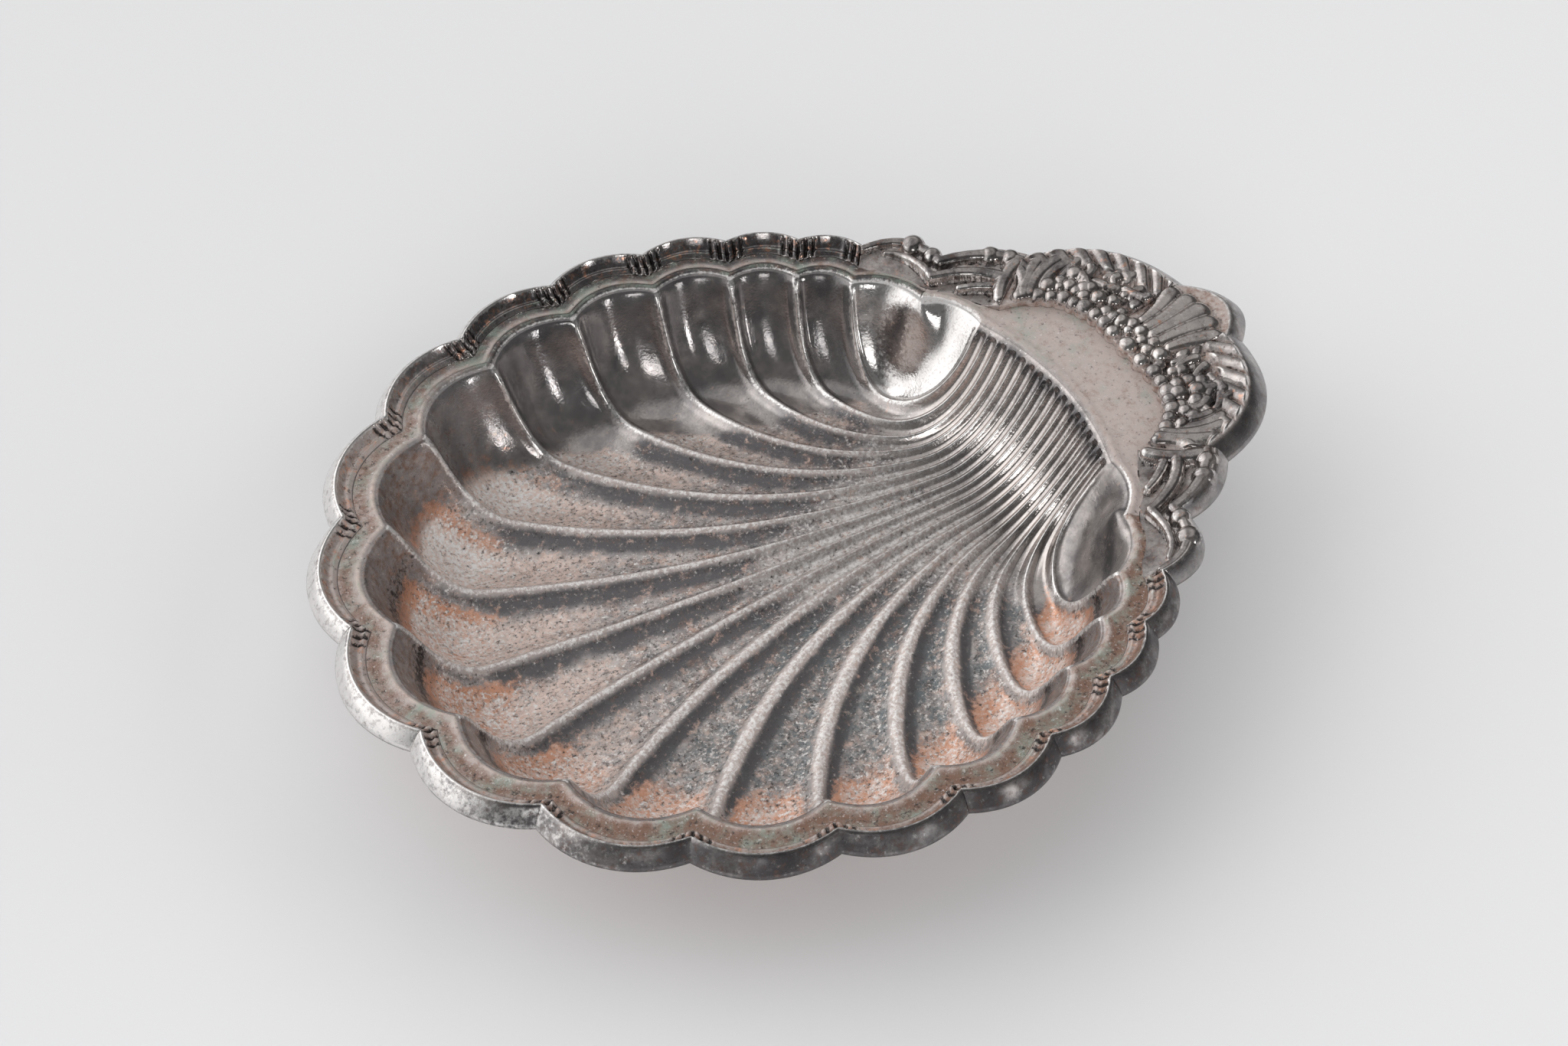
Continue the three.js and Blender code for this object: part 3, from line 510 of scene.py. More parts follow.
class BowlColumn:
    """One line of the stamped sheet, from the rim over the bowl to the handle plate, with its wear and
    painted light
    """

    def __init__(self, plan, s):
        self.plan = plan
        self.sizes = plan.sizes
        self.s = s
        self.on_flute = 0 <= s <= plan.flutes
        _, _, self.length = plan.ridge_line(s, np.array([0.5]))
        front_share = min(self.sizes.front_wall / self.length, LONGEST_WALL_SHARE)
        rear_share = min(self.sizes.ribbed_wall / self.length, LONGEST_WALL_SHARE)
        fall = np.linspace(0, 1, WALL_ROWS) ** WALL_ROW_CLUSTER
        floor = np.linspace(front_share, 1 - rear_share, FLOOR_ROWS + 2)[1:-1]
        self.u = np.concatenate((front_share * fall, floor, 1 - rear_share * fall[::-1]))
        self.run = self.u * self.length
        self.from_rear = self.length - self.run
        self.measure_flute()
        bowl = self.bowl_points()
        if self.on_flute:
            front_edge = plan.rim_point(np.array([s]), self.sizes.rim_width - self.sizes.sheet_edge_inset)[0]
        else:
            angle = float(plan.rim_angle(s))
            front_edge = plan.sheet_edge(angle if s < 0 else angle - 360)
        back_edge = plan.sheet_edge(float(plan.rib_angle(s)))
        front_rows, front_width = self.ledge(bowl[0], front_edge, LEDGE_SHARES)
        back_rows, back_width = self.ledge(bowl[-1], back_edge, PLATE_SHARES)
        self.points = np.concatenate((front_rows, bowl, back_rows))
        self.marks = self.wear_and_painted_light(front_width, back_width)

    def measure_flute(self):
        """Share across the flute, its width, and the distance to the nearest ridge"""
        plan, s = self.plan, self.s
        if self.on_flute:
            flute = int(plan.flute_of(np.array([s]))[0])
            self.f = s - flute
            first, second = (plan.ridge_line(ridge, self.u)[0] for ridge in (flute, flute + 1))
            self.spacing = np.linalg.norm(first - second, axis=1)
            self.off_ridge = min(self.f, 1 - self.f) * self.spacing
        else:
            corner, _ = plan.mouth(EAR_ANGLE if s < 0 else -EAR_ANGLE)
            edge = plan.ridge_line(0 if s < 0 else plan.flutes, self.u)[0]
            self.f = s + 1 if s < 0 else plan.flutes + 1 - s
            self.spacing = np.linalg.norm(edge - corner, axis=1)
            self.off_ridge = (1 - self.f) * self.spacing

    def broad_share(self):
        """1 for the broad ridges on the near front, 0 for slender ones"""
        return ease(self.s, 8.5, 11.5) * (1 - ease(self.s, 14, 16.5))

    def bead_half_width(self):
        """Half width of the bead on a ridge: broad on the near front, slender elsewhere and on the ribs"""
        if not self.on_flute:
            return np.full(len(self.u), 0.6 * self.sizes.bead)
        widening = 1 + self.broad_share() * ease(self.run, 12 * MM, 40 * MM)
        return np.minimum(self.sizes.bead * widening, 0.2 * self.spacing)

    def scoop(self):
        """Depth of the flute below its ridges, less the bead that stands on them"""
        sizes = self.sizes
        half_width = self.bead_half_width()
        bead_height = sizes.bead_height * np.minimum(half_width / sizes.bead, 1)
        bead = hump(self.off_ridge / half_width, 0, 1) - 0.45 * hump(self.off_ridge / half_width, 2, 0.7)
        rib_fade = ease(self.from_rear, 0.55 * sizes.rib_end, sizes.rib_end)
        bead = bead * bead_height * rib_fade * ease(self.run, 0, 3 * MM)
        if not self.on_flute:
            return EAR_DEPTH_RATIO * self.spacing * arch(self.f) - bead
        onset = np.clip(self.run / sizes.front_wall, 0, 1)
        wide = ease(self.spacing, 4 * MM, 18 * MM)
        floor_ratio = RIB_DEPTH_RATIO + (FLUTE_DEPTH_RATIO - RIB_DEPTH_RATIO) * wide
        ratio = MOUTH_LOBE_RATIO + (floor_ratio - MOUTH_LOBE_RATIO) * onset
        depth = ratio * self.spacing * arch(self.f)
        softening = 0.35 + 0.65 * ease(self.run, 8 * MM, 45 * MM)
        rounding = softening * MM * np.clip(self.spacing / (22 * MM), 0.12, 1)
        return (np.hypot(depth, rounding) - rounding) * rib_fade - bead

    def bowl_points(self):
        sizes = self.sizes
        line, heading, _ = self.plan.ridge_line(self.s, self.u)
        front = wall_drop(self.run, sizes.front_wall, sizes.lip_rounding)
        rear = wall_drop(self.from_rear, sizes.ribbed_wall, sizes.lip_rounding)
        height = -sizes.bowl_depth * front * rear
        slope = np.gradient(height, self.run + np.arange(len(self.run)) * HAIR)
        inward = np.column_stack((heading, np.zeros(len(self.u)))) * np.where(self.u < 0.5, 1, -1)[:, None]
        normal = unit(np.column_stack((-slope[:, None] * heading, np.ones(len(self.u)))))
        from_mouth = np.where(self.u < 0.5, self.run / sizes.front_wall, self.from_rear / sizes.ribbed_wall)
        turn = ease(from_mouth, 0, 0.4)[:, None]
        push = unit(inward * (1 - turn) + normal * turn)
        return np.column_stack((line, height)) - push * self.scoop()[:, None]

    def ledge(self, mouth, edge, shares):
        """Flat ledge from the mouth to an edge, with the raised lip round the mouth"""
        width = np.linalg.norm(edge - mouth[:2])
        lip = np.sin(np.pi * np.clip(shares * width / self.sizes.lip_width, 0, 1)) ** 2
        flat = mouth[:2] + (edge - mouth[:2]) * shares[:, None]
        return np.column_stack((flat, self.sizes.lip_height * lip)), width

    def wear_and_painted_light(self, front_width, back_width):
        """How much of each wear, painted shade and painted highlight lies at each point"""
        ledge_rows, plate_rows = len(LEDGE_SHARES), len(PLATE_SHARES)
        far = far_share(self.points)
        ledge = self.ledge_wear_and_painted_light(LEDGE_SHARES * front_width, far[:ledge_rows])
        bowl = self.bowl_wear_and_painted_shade(far[ledge_rows:-plate_rows])
        plate = self.plate_wear(PLATE_SHARES * back_width)
        stretches = ((ledge, ledge_rows), (bowl, len(self.u)), (plate, plate_rows))
        marks = {}
        for name in sorted({*ledge, *bowl, *plate}):
            levels = [np.broadcast_to(part.get(name, 0), rows) for part, rows in stretches]
            marks[name] = np.concatenate(levels)
        return marks

    def ledge_wear_and_painted_light(self, out, far):
        """Round the mouth: brown and green crust on the near side; on the far, painted shade, a pale line and
        a painted highlight on the mouth's edge
        """
        front = ease(self.s, *FRONT_STRETCH)
        channel = ease(out, 0.1 * MM, 0.9 * MM)
        line = hump(out, 3.2 * MM, 0.8 * MM)
        gutter = hump(out, 4.4 * MM, 1.7 * MM) * (1 - far)
        lip = hump(out, 1.3 * MM, 0.8 * MM) * (1 - far)
        crust = channel * (1 - far) * (1 - 0.4 * gutter * front) + line * far
        # Painted shade darkens the channel on the far side, and a painted highlight lines the mouth's edge
        # there
        return {
            "tarnish": 0.5,
            "dark": 0.9 * channel * far * (1 - line) + (0.4 + 0.4 * front) * gutter,
            "crust": 0.85 * crust,
            "blush": (0.5 - 0.3 * front) * lip,
            "umber": (0.36 + 0.34 * front) * channel * (1 - 0.4 * lip) + 0.3 * gutter,
            "black": 0.18 + 0.16 * gutter,
            "green": 0.34 * channel,
            "bright": (1 - channel) * far + 0.2 * channel,
            "dry": 0.85 * crust,
            "dull": 0.14 + 0.4 * crust,
        }

    def bowl_wear_and_painted_shade(self, far):
        """Inside the mouth: glossy far walls, pale ridges, speckled floor, bare copper where flutes end,
        painted shade by the ridges and on the far side
        """
        near = 1 - far
        front = ease(self.s, *FRONT_STRETCH)
        behind = 1 - ease(self.s, *BEHIND_STRETCH)
        broad = self.broad_share()
        run = self.run * (1 + 0.9 * near)
        off_rear = ease(self.from_rear, 20 * MM, 45 * MM)
        narrow = 1 - ease(self.spacing, 5 * MM, 11 * MM)
        inner = ease(run, 70 * MM, 120 * MM) * (1 - narrow)
        entry = 1 - ease(run, 28 * MM, 60 * MM)
        edge = min((15 + behind * (36 - 16 * self.f)) * MM, 0.38 * self.length)
        floor = ease(run, edge - 3 * MM, edge + 3 * MM) * off_rear
        bead = self.bead_half_width()
        crest = ease(-self.off_ridge / bead, -1.15, -0.45) * ease(self.from_rear, 2 * MM, 5 * MM)
        # Painted shade: the dips beside each ridge's bead are laid darker on the floor
        groove = hump(self.off_ridge / bead, 1.8, 0.5) * (1 - narrow)
        wall = bare = copper = shaded = beige = ear = polish = 0
        if self.on_flute:
            wall = 1 - ease(run, 8 * MM, 22 * MM)
            bare = ease(self.s, *BARE_STRETCH)
            flute_end = ease(run, 10 * MM, 14 * MM) * (1 - ease(run, 28 * MM, 58 * MM))
            copper = flute_end * ease(arch(self.f), 0.3, 0.8)
            # Painted shade: a dark band below each ridge, where the flute curves away from the light, with
            # fewer specks in it
            below_ridge = hump(self.f * self.spacing, 3.6 * MM, 2.4 * MM) * (1 - narrow)
            shaded = below_ridge * ease(run, 20 * MM, 50 * MM) * off_rear
            plain = floor * (1 - crest) * (1 - 0.7 * shaded)
            lit = ease(self.f, 0.28, 0.42) * (1 - front) * (1 - ease(run, 60 * MM, 120 * MM))
            beige = lit * plain * (1 - 0.85 * copper * bare)
            # Painted shade: on the far side the walls are laid darker just below the mouth
            dark = 0.3 * far * (1 - ease(run, 3 * MM, 13 * MM)) + 0.7 * hump(self.from_rear, 2 * MM, 2 * MM)
        else:
            ear = float(self.s > 0)
            floor = floor * ear
            plain = floor * (1 - crest)
            # Painted dark reflection: a dark stripe down the middle of the far ear, with polish round it
            shade = hump(self.u, 0.3, 0.12) * hump(self.f, 0.45, 0.28)
            polish = 0.72 * (1 - shade) * (1 - ear)
            dark = 0.9 * shade * (1 - ear)
        ridge_crust = crest * (0.85 + 0.15 * broad) * floor
        specks = 0.3 * plain + 0.12 * beige * entry + 0.2 * narrow + 0.1 * copper * near
        return {
            "tarnish": (0.5 + 0.25 * wall) * (1 - polish) * (1 - 0.5 * narrow),
            "dark": dark + 0.9 * shaded + 0.5 * groove * floor + 0.2 * inner + 0.4 * ear
            + 0.6 * front * hump(run, 9 * MM, 2 * MM) + 0.34 * behind * plain,
            "copper": copper * (0.55 * near * (1 - behind) + 0.6 * bare) + (0.12 + 0.12 * near) * plain
            + 0.2 * wall * near * (1 - behind),
            "steel": 0.62 * ease(run, 30 * MM, 62 * MM) * (0.3 + 0.7 * front) * plain * near
            * (1 - narrow) * (1 - ear),
            "crust": np.maximum(ridge_crust, (0.8 - 0.4 * behind) * beige) + 0.3 * wall * near + 0.1 * ear,
            "blush": (0.52 - 0.3 * behind + 0.25 * entry) * beige + (0.2 * front + 0.12) * copper * near
            + 0.2 * plain + 0.3 * crest * broad * floor,
            "umber": (0.3 + 0.06 * inner + 0.1 * behind) * plain * (1 - 0.4 * copper) + 0.4 * wall * near,
            "black": 0.1 + 0.24 * plain * (1 - 0.1 * copper) + 0.1 * wall * near + 0.12 * polish
            + 0.5 * bare * near * hump(run, 10 * MM, 1.8 * MM),
            "bright": np.maximum((0.62 - 0.12 * floor) * crest, specks) + polish,
            "dry": floor * (0.35 + 0.35 * near) * (1 - 0.6 * narrow) + 0.3 * crest * floor * broad
            + 0.3 * wall * near + 0.14 * (1 - floor) * far * (1 - polish) + 0.1 * ear,
            "dull": 0.13 + (0.2 + 0.1 * near) * floor * (1 - 0.4 * narrow) + 0.15 * wall * near + 0.15 * ear,
        }

    def plate_wear(self, out):
        """On the handle plate: dry pale crust, greener towards the far side"""
        plate = ease(out, 0.35 * MM, 1 * MM)
        far_end = ease(self.points[-len(out):, 1], -20 * MM, 40 * MM)
        return {
            "tarnish": 0.5,
            "crust": plate,
            "umber": 0.2 * plate,
            "black": 0.2,
            "green": (0.14 + 0.2 * far_end) * plate,
            "bright": 0.16 + 0.8 * (1 - plate),
            "dry": 0.85 * plate,
            "dull": 0.14 + 0.4 * plate,
        }


class SHELLDISH_OT_bowl(bpy.types.Operator):
    """Stamp the fluted bowl with its channel and handle plate"""
    bl_idname = "shelldish.bowl"
    bl_label = "Stamped Bowl"

    def execute(self, context):
        settings = shell_settings(context)
        plan = ShellPlan(settings.sizes)
        steps = np.arange((plan.flutes + 2) * STEPS_PER_FLUTE + 1) / STEPS_PER_FLUTE - 1
        columns = [BowlColumn(plan, s) for s in np.round(clustered(steps), 9)]
        points = np.array([column.points for column in columns]) + plan.place
        marks = {name: np.array([column.marks[name] for column in columns]) for name in columns[0].marks}
        bm = grid_mesh(points, marks, closed=False)
        if sum(face.normal.z for face in bm.faces) < 0:
            bmesh.ops.reverse_faces(bm, faces=bm.faces)
        piece = make_piece("bowl_sheet", bm, silvered_sheet(settings.finish), "silvered_sheet", "shell_bowl")
        thickness = piece.modifiers.new("sheet thickness", "SOLIDIFY")
        thickness.thickness = settings.sizes.sheet
        thickness.offset = -1
        return {"FINISHED"}


# Powers of the curves over a section, rows of points on its stretches, and steps along each lobe of the rim
RIM_CURVE = 2
HANDLE_CURVE = 3
SKIRT_CURVE = 1.45
COVE_ROWS = 30
SKIRT_ROWS = 14
TOE_ROWS = 5
STEPS_PER_LOBE = 64
# Gap for solder between a mount's seat and the edge of the sheet, and the least metal under a tick groove
SEAT_GAP = 0.3 * MM
GROOVE_FLOOR = 0.05 * MM


class MountSection:
    """Sections of a mount at stations along it: over its cove, crest and skirt, then back along its seat"""

    def __init__(self, plan, inner, outer, shape, cove_rows):
        sizes = plan.sizes
        self.plan = plan
        self.inner = inner
        self.outward = unit(outer - inner)
        self.width = np.linalg.norm(outer - inner, axis=1)[:, None]
        height, skirt, toe, power, inset = (np.broadcast_to(v, len(inner))[:, None] for v in shape)
        self.crest = self.width - skirt
        self.top = slice(TOE_ROWS, TOE_ROWS + cove_rows + SKIRT_ROWS - 2)
        face = np.linspace(0, 1, TOE_ROWS + 1)[None, :-1]
        cove = np.linspace(0, 1, cove_rows)[None, :]
        slope = np.linspace(0, 1, SKIRT_ROWS)[None, 1:]
        ones = np.ones_like(self.width)
        edge = sizes.skirt_edge - sizes.skirt_drop
        seat = self.width - inset + SEAT_GAP
        self.across = np.concatenate((
            0 * face * ones, cove * self.crest, self.crest + slope * skirt,
            self.width, self.width - sizes.skirt_edge, seat, seat, 0 * ones), axis=1)
        drop = -sizes.skirt_drop * ones
        self.up = np.concatenate((
            toe * face, toe + (height - toe) * cove ** power,
            edge + (height - edge) * (1 - slope ** SKIRT_CURVE),
            drop, drop, -sizes.sheet / 2 * ones, 0 * ones, 0 * ones), axis=1)

    def plan_points(self):
        return self.inner[:, None, :] + self.outward[:, None, :] * self.across[:, :, None]

    def mesh(self, marks, mirror):
        """Bar over the sections, mirrored to -Y if asked"""
        points = np.concatenate((self.plan_points(), self.up[:, :, None]), axis=2)
        points = points * np.array([1, -1 if mirror else 1, 1])
        return grid_mesh(points + self.plan.place, marks, closed=True)


class SHELLDISH_OT_rim(bpy.types.Operator):
    """Cast the lengths of rim moulding with their tick grooves at every notch"""
    bl_idname = "shelldish.rim"
    bl_label = "Rim Moulding"

    def execute(self, context):
        settings = shell_settings(context)
        plan = ShellPlan(settings.sizes)
        material = cast_mount(settings.finish)
        front = (plan.flutes - 1) // 2
        split = round(front / 2)
        lengths = {
            "rim_left_rear": (0, split),
            "rim_left_front": (split, front),
            "rim_front": (front, front + 1),
            "rim_right_front": (front + 1, plan.flutes - split),
            "rim_right_rear": (plan.flutes - split, plan.flutes),
        }
        for node, (first, last) in lengths.items():
            bm = self.rim_length(plan, first, last)
            make_piece(node.replace("rim", "moulding"), bm, material, "cast_mount", node)
        return {"FINISHED"}

    def rim_length(self, plan, first, last):
        """Bar of moulding from one notch to another"""
        sizes = plan.sizes
        steps = np.arange((last - first) * STEPS_PER_LOBE + 1) / STEPS_PER_LOBE
        s = first + clustered(steps)
        inner, outer = (plan.rim_point(s, out) for out in (sizes.channel, sizes.rim_width))
        shape = (sizes.rim_height, sizes.rim_skirt, 0, RIM_CURVE, sizes.sheet_edge_inset)
        section = MountSection(plan, inner, outer, shape, COVE_ROWS)
        from_notch = (s - np.round(s)) * plan.chord(plan.flute_of(s))
        near_notch = ease(-np.abs(from_notch), -sizes.tick_reach, -0.7 * sizes.tick_reach)[:, None]
        ticks = np.cos(np.pi * from_notch / sizes.tick_pitch)[:, None] ** 4 * near_notch
        from_crest = section.crest - section.across
        upper = np.ones_like(section.up)
        upper[:, :TOE_ROWS] = 0
        upper[:, TOE_ROWS + COVE_ROWS:] = 0
        cove = upper * ease(section.across, 0, 0.5 * MM) * ease(from_crest, 0, 0.5 * MM)
        foot = upper * hump(section.across, 1.1 * MM, 0.7 * MM)
        carved = section.up + sizes.rim_bead * foot + sizes.tick_depth * (0.45 * near_notch - ticks) * cove
        section.up = np.where(cove > 0, np.maximum(carved, GROOVE_FLOOR), section.up)
        far = far_share(section.plan_points())
        front = ease(s, *FRONT_STRETCH)[:, None]
        crust = np.clip(foot + 0.7 * cove, 0, 1) * (1 - 0.85 * far)
        skirt = ease(-from_crest, 0.3 * MM, 1.2 * MM)
        # Painted highlight and painted shade: the skirt is laid bright towards the light and dark and brown
        # away from it, the rubbed crest line is brighter towards the light, and the cove and foot are darker
        # on the far side
        left = ease(section.outward @ LEFT_SIDE, 0.1, 0.8)[:, None]
        return section.mesh({
            "tarnish": 0.55,
            "dark": 0.6 * np.maximum(cove, foot) * far + (0.7 - 0.35 * left) * skirt,
            "crust": 0.9 * crust,
            "umber": (0.26 + 0.24 * front) * (1.3 * cove - 0.7 * foot) * (1 - 0.5 * far)
            + 0.2 * skirt * (1 - left),
            "green": 0.3 * foot,
            "copper": 0.26 * cove,
            "black": 0.14 + 0.1 * cove + 0.62 * ticks * cove,
            "bright": 0.1 + 0.95 * hump(from_crest, 0, 0.4 * MM) * (0.45 + 0.55 * left) + 0.62 * skirt * left,
            "dry": 0.7 * crust,
            "dull": 0.12 + 0.3 * crust + (0.26 - 0.16 * left) * skirt,
        }, mirror=False)


# Handle relief in mm. Balls: share along the lobe, distance from the inner edge, radius and seat
LEAF_BALLS = [(0.29, 1.8, 2.6, 1.3), (0.41, 1.3, 2.1, 1.7), (0.52, 1.9, 2.7, 1.3), (0.63, 1.2, 2.2, 1.7),
              (0.73, 1.8, 2.9, 1.2), (0.85, 1.4, 2.3, 1.6), (0.96, 1.7, 2.6, 1.4)]
CENTRE_BALLS = [(0.12, 1.4, 2.3, 1.5), (0.45, 1.7, 2.9, 1.2), (0.8, 1.3, 2.4, 1.5)]
# Grapes in rows: distance from the inner edge, first and last share along the lobe, count and radius
LEAF_GRAPES = [(4.8, 0.33, 0.98, 7, 2.2), (7.8, 0.37, 0.96, 7, 2.2), (10.8, 0.42, 0.98, 6, 2.1)]
CENTRE_GRAPES = [(4.8, 0.08, 0.92, 5, 2.2), (7.6, 0.14, 0.86, 4, 2.1)]
# Leaf fingers: share along the lobe and distance from the inner edge, half width and top, each at both ends,
# and sideways bow
LEAF_FINGERS = [
    ((0.12, 2.2), (0.0, 13.5), (1.9, 2.2), (3.6, 4.7), 0.03),
    ((0.15, 2.4), (0.1, 16), (2.2, 2.4), (3.9, 4.9), -0.02),
    ((0.2, 2.6), (0.23, 16), (2.2, 2.3), (3.9, 4.8), -0.05),
    ((0.26, 5.5), (0.33, 15), (1.8, 2.0), (3.6, 4.6), -0.04),
]
CENTRE_FINGERS = [
    ((0.2, 10), (0.06, 21), (1.8, 3.6), (3.6, 5.2), 0.03),
    ((0.35, 9.5), (0.28, 22.5), (2.0, 4.0), (3.9, 5.3), 0.02),
    ((0.5, 9), (0.5, 23), (2.2, 4.2), (4.0, 5.6), 0.0),
    ((0.65, 9.5), (0.72, 22.5), (2.0, 4.0), (3.9, 5.3), -0.02),
    ((0.8, 10), (0.94, 21), (1.8, 3.6), (3.6, 5.2), -0.03),
]
# Scroll ridges run at a distance from the outline: lobe, both ends, half widths, tops and bow
SCROLL_RIDGES = [
    (SCROLL, (0.02, 4.4), (1.0, 4.4), (0.9, 1.6), (3.8, 4.3), 0.0),
    (VOLUTE, (0.0, 4.4), (1.0, 5.6), (1.6, 1.9), (4.3, 4.5), 0.0),
    (VOLUTE, (0.95, 20), (0.93, 7), (1.9, 2.4), (3.4, 4.4), -0.05),
    (SCROLL, (0.3, 7), (1.0, 9.8), (0.8, 1.4), (2.2, 3.3), 0.0),
    (VOLUTE, (0.0, 9.8), (0.86, 12.5), (1.4, 1.9), (3.3, 4.0), 0.05),
    (VOLUTE, (0.4, 16.5), (0.86, 15.5), (1.0, 1.5), (2.2, 3.0), 0.0),
]
# Knobs on the scroll ridges: lobe, share along it, distance from the outline, radius and seat
SCROLL_KNOBS = [(SCROLL, 0.6, 4.0, 3.4, 1.6), (SCROLL, 0.88, 4.4, 2.6, 2.2), (VOLUTE, 0.6, 4.8, 3.0, 1.9),
                (VOLUTE, 0.84, 5.2, 2.8, 2.2)]
GRAPE_SEAT = 2.0
GRAPE_SEED = 7
TENDRIL_COUNT = 16


def ball_height(x, y, place, radius, seat):
    """Height of a ball sunk to a seat"""
    inside = radius ** 2 - (x - place[0]) ** 2 - (y - place[1]) ** 2
    return np.where(inside > 0, seat + np.sqrt(np.maximum(inside, 0)), 0)


def finger_height(x, y, path, widths, tops):
    """Height of a round-backed finger along a path"""
    height = np.zeros_like(x)
    for i, run in enumerate(np.diff(path, axis=0)):
        share = np.clip(((x - path[i, 0]) * run[0] + (y - path[i, 1]) * run[1]) / (run @ run), 0, 1)
        off = np.hypot(x - path[i, 0] - share * run[0], y - path[i, 1] - share * run[1])
        width = widths[i] + (widths[i + 1] - widths[i]) * share
        top = tops[i] + (tops[i + 1] - tops[i]) * share
        inside = 1 - (off / width) ** 2
        rounded = top - width * (1 - np.sqrt(np.maximum(inside, 0)))
        height = np.maximum(height, np.where(inside > 0, rounded, 0))
    return height


# Rows of points over a handle mount, steps along each of its lobes and along a finger, and reach of a cavity
HANDLE_COVE_ROWS = 130
SCROLL_STEPS = 100
LEAF_STEPS = 230
CENTRE_STEPS = 110
FINGER_STEPS = 7
CAVITY_STEPS = 6


def blurred(heights, steps):
    """Heights averaged with their neighbours both ways"""
    for axis in (0, 1):
        margins = [(0, 0), (0, 0)]
        margins[axis] = (steps, steps)
        padded = np.pad(heights, margins, mode="edge")
        heights = np.lib.stride_tricks.sliding_window_view(padded, 2 * steps + 1, axis).mean(-1)
    return heights


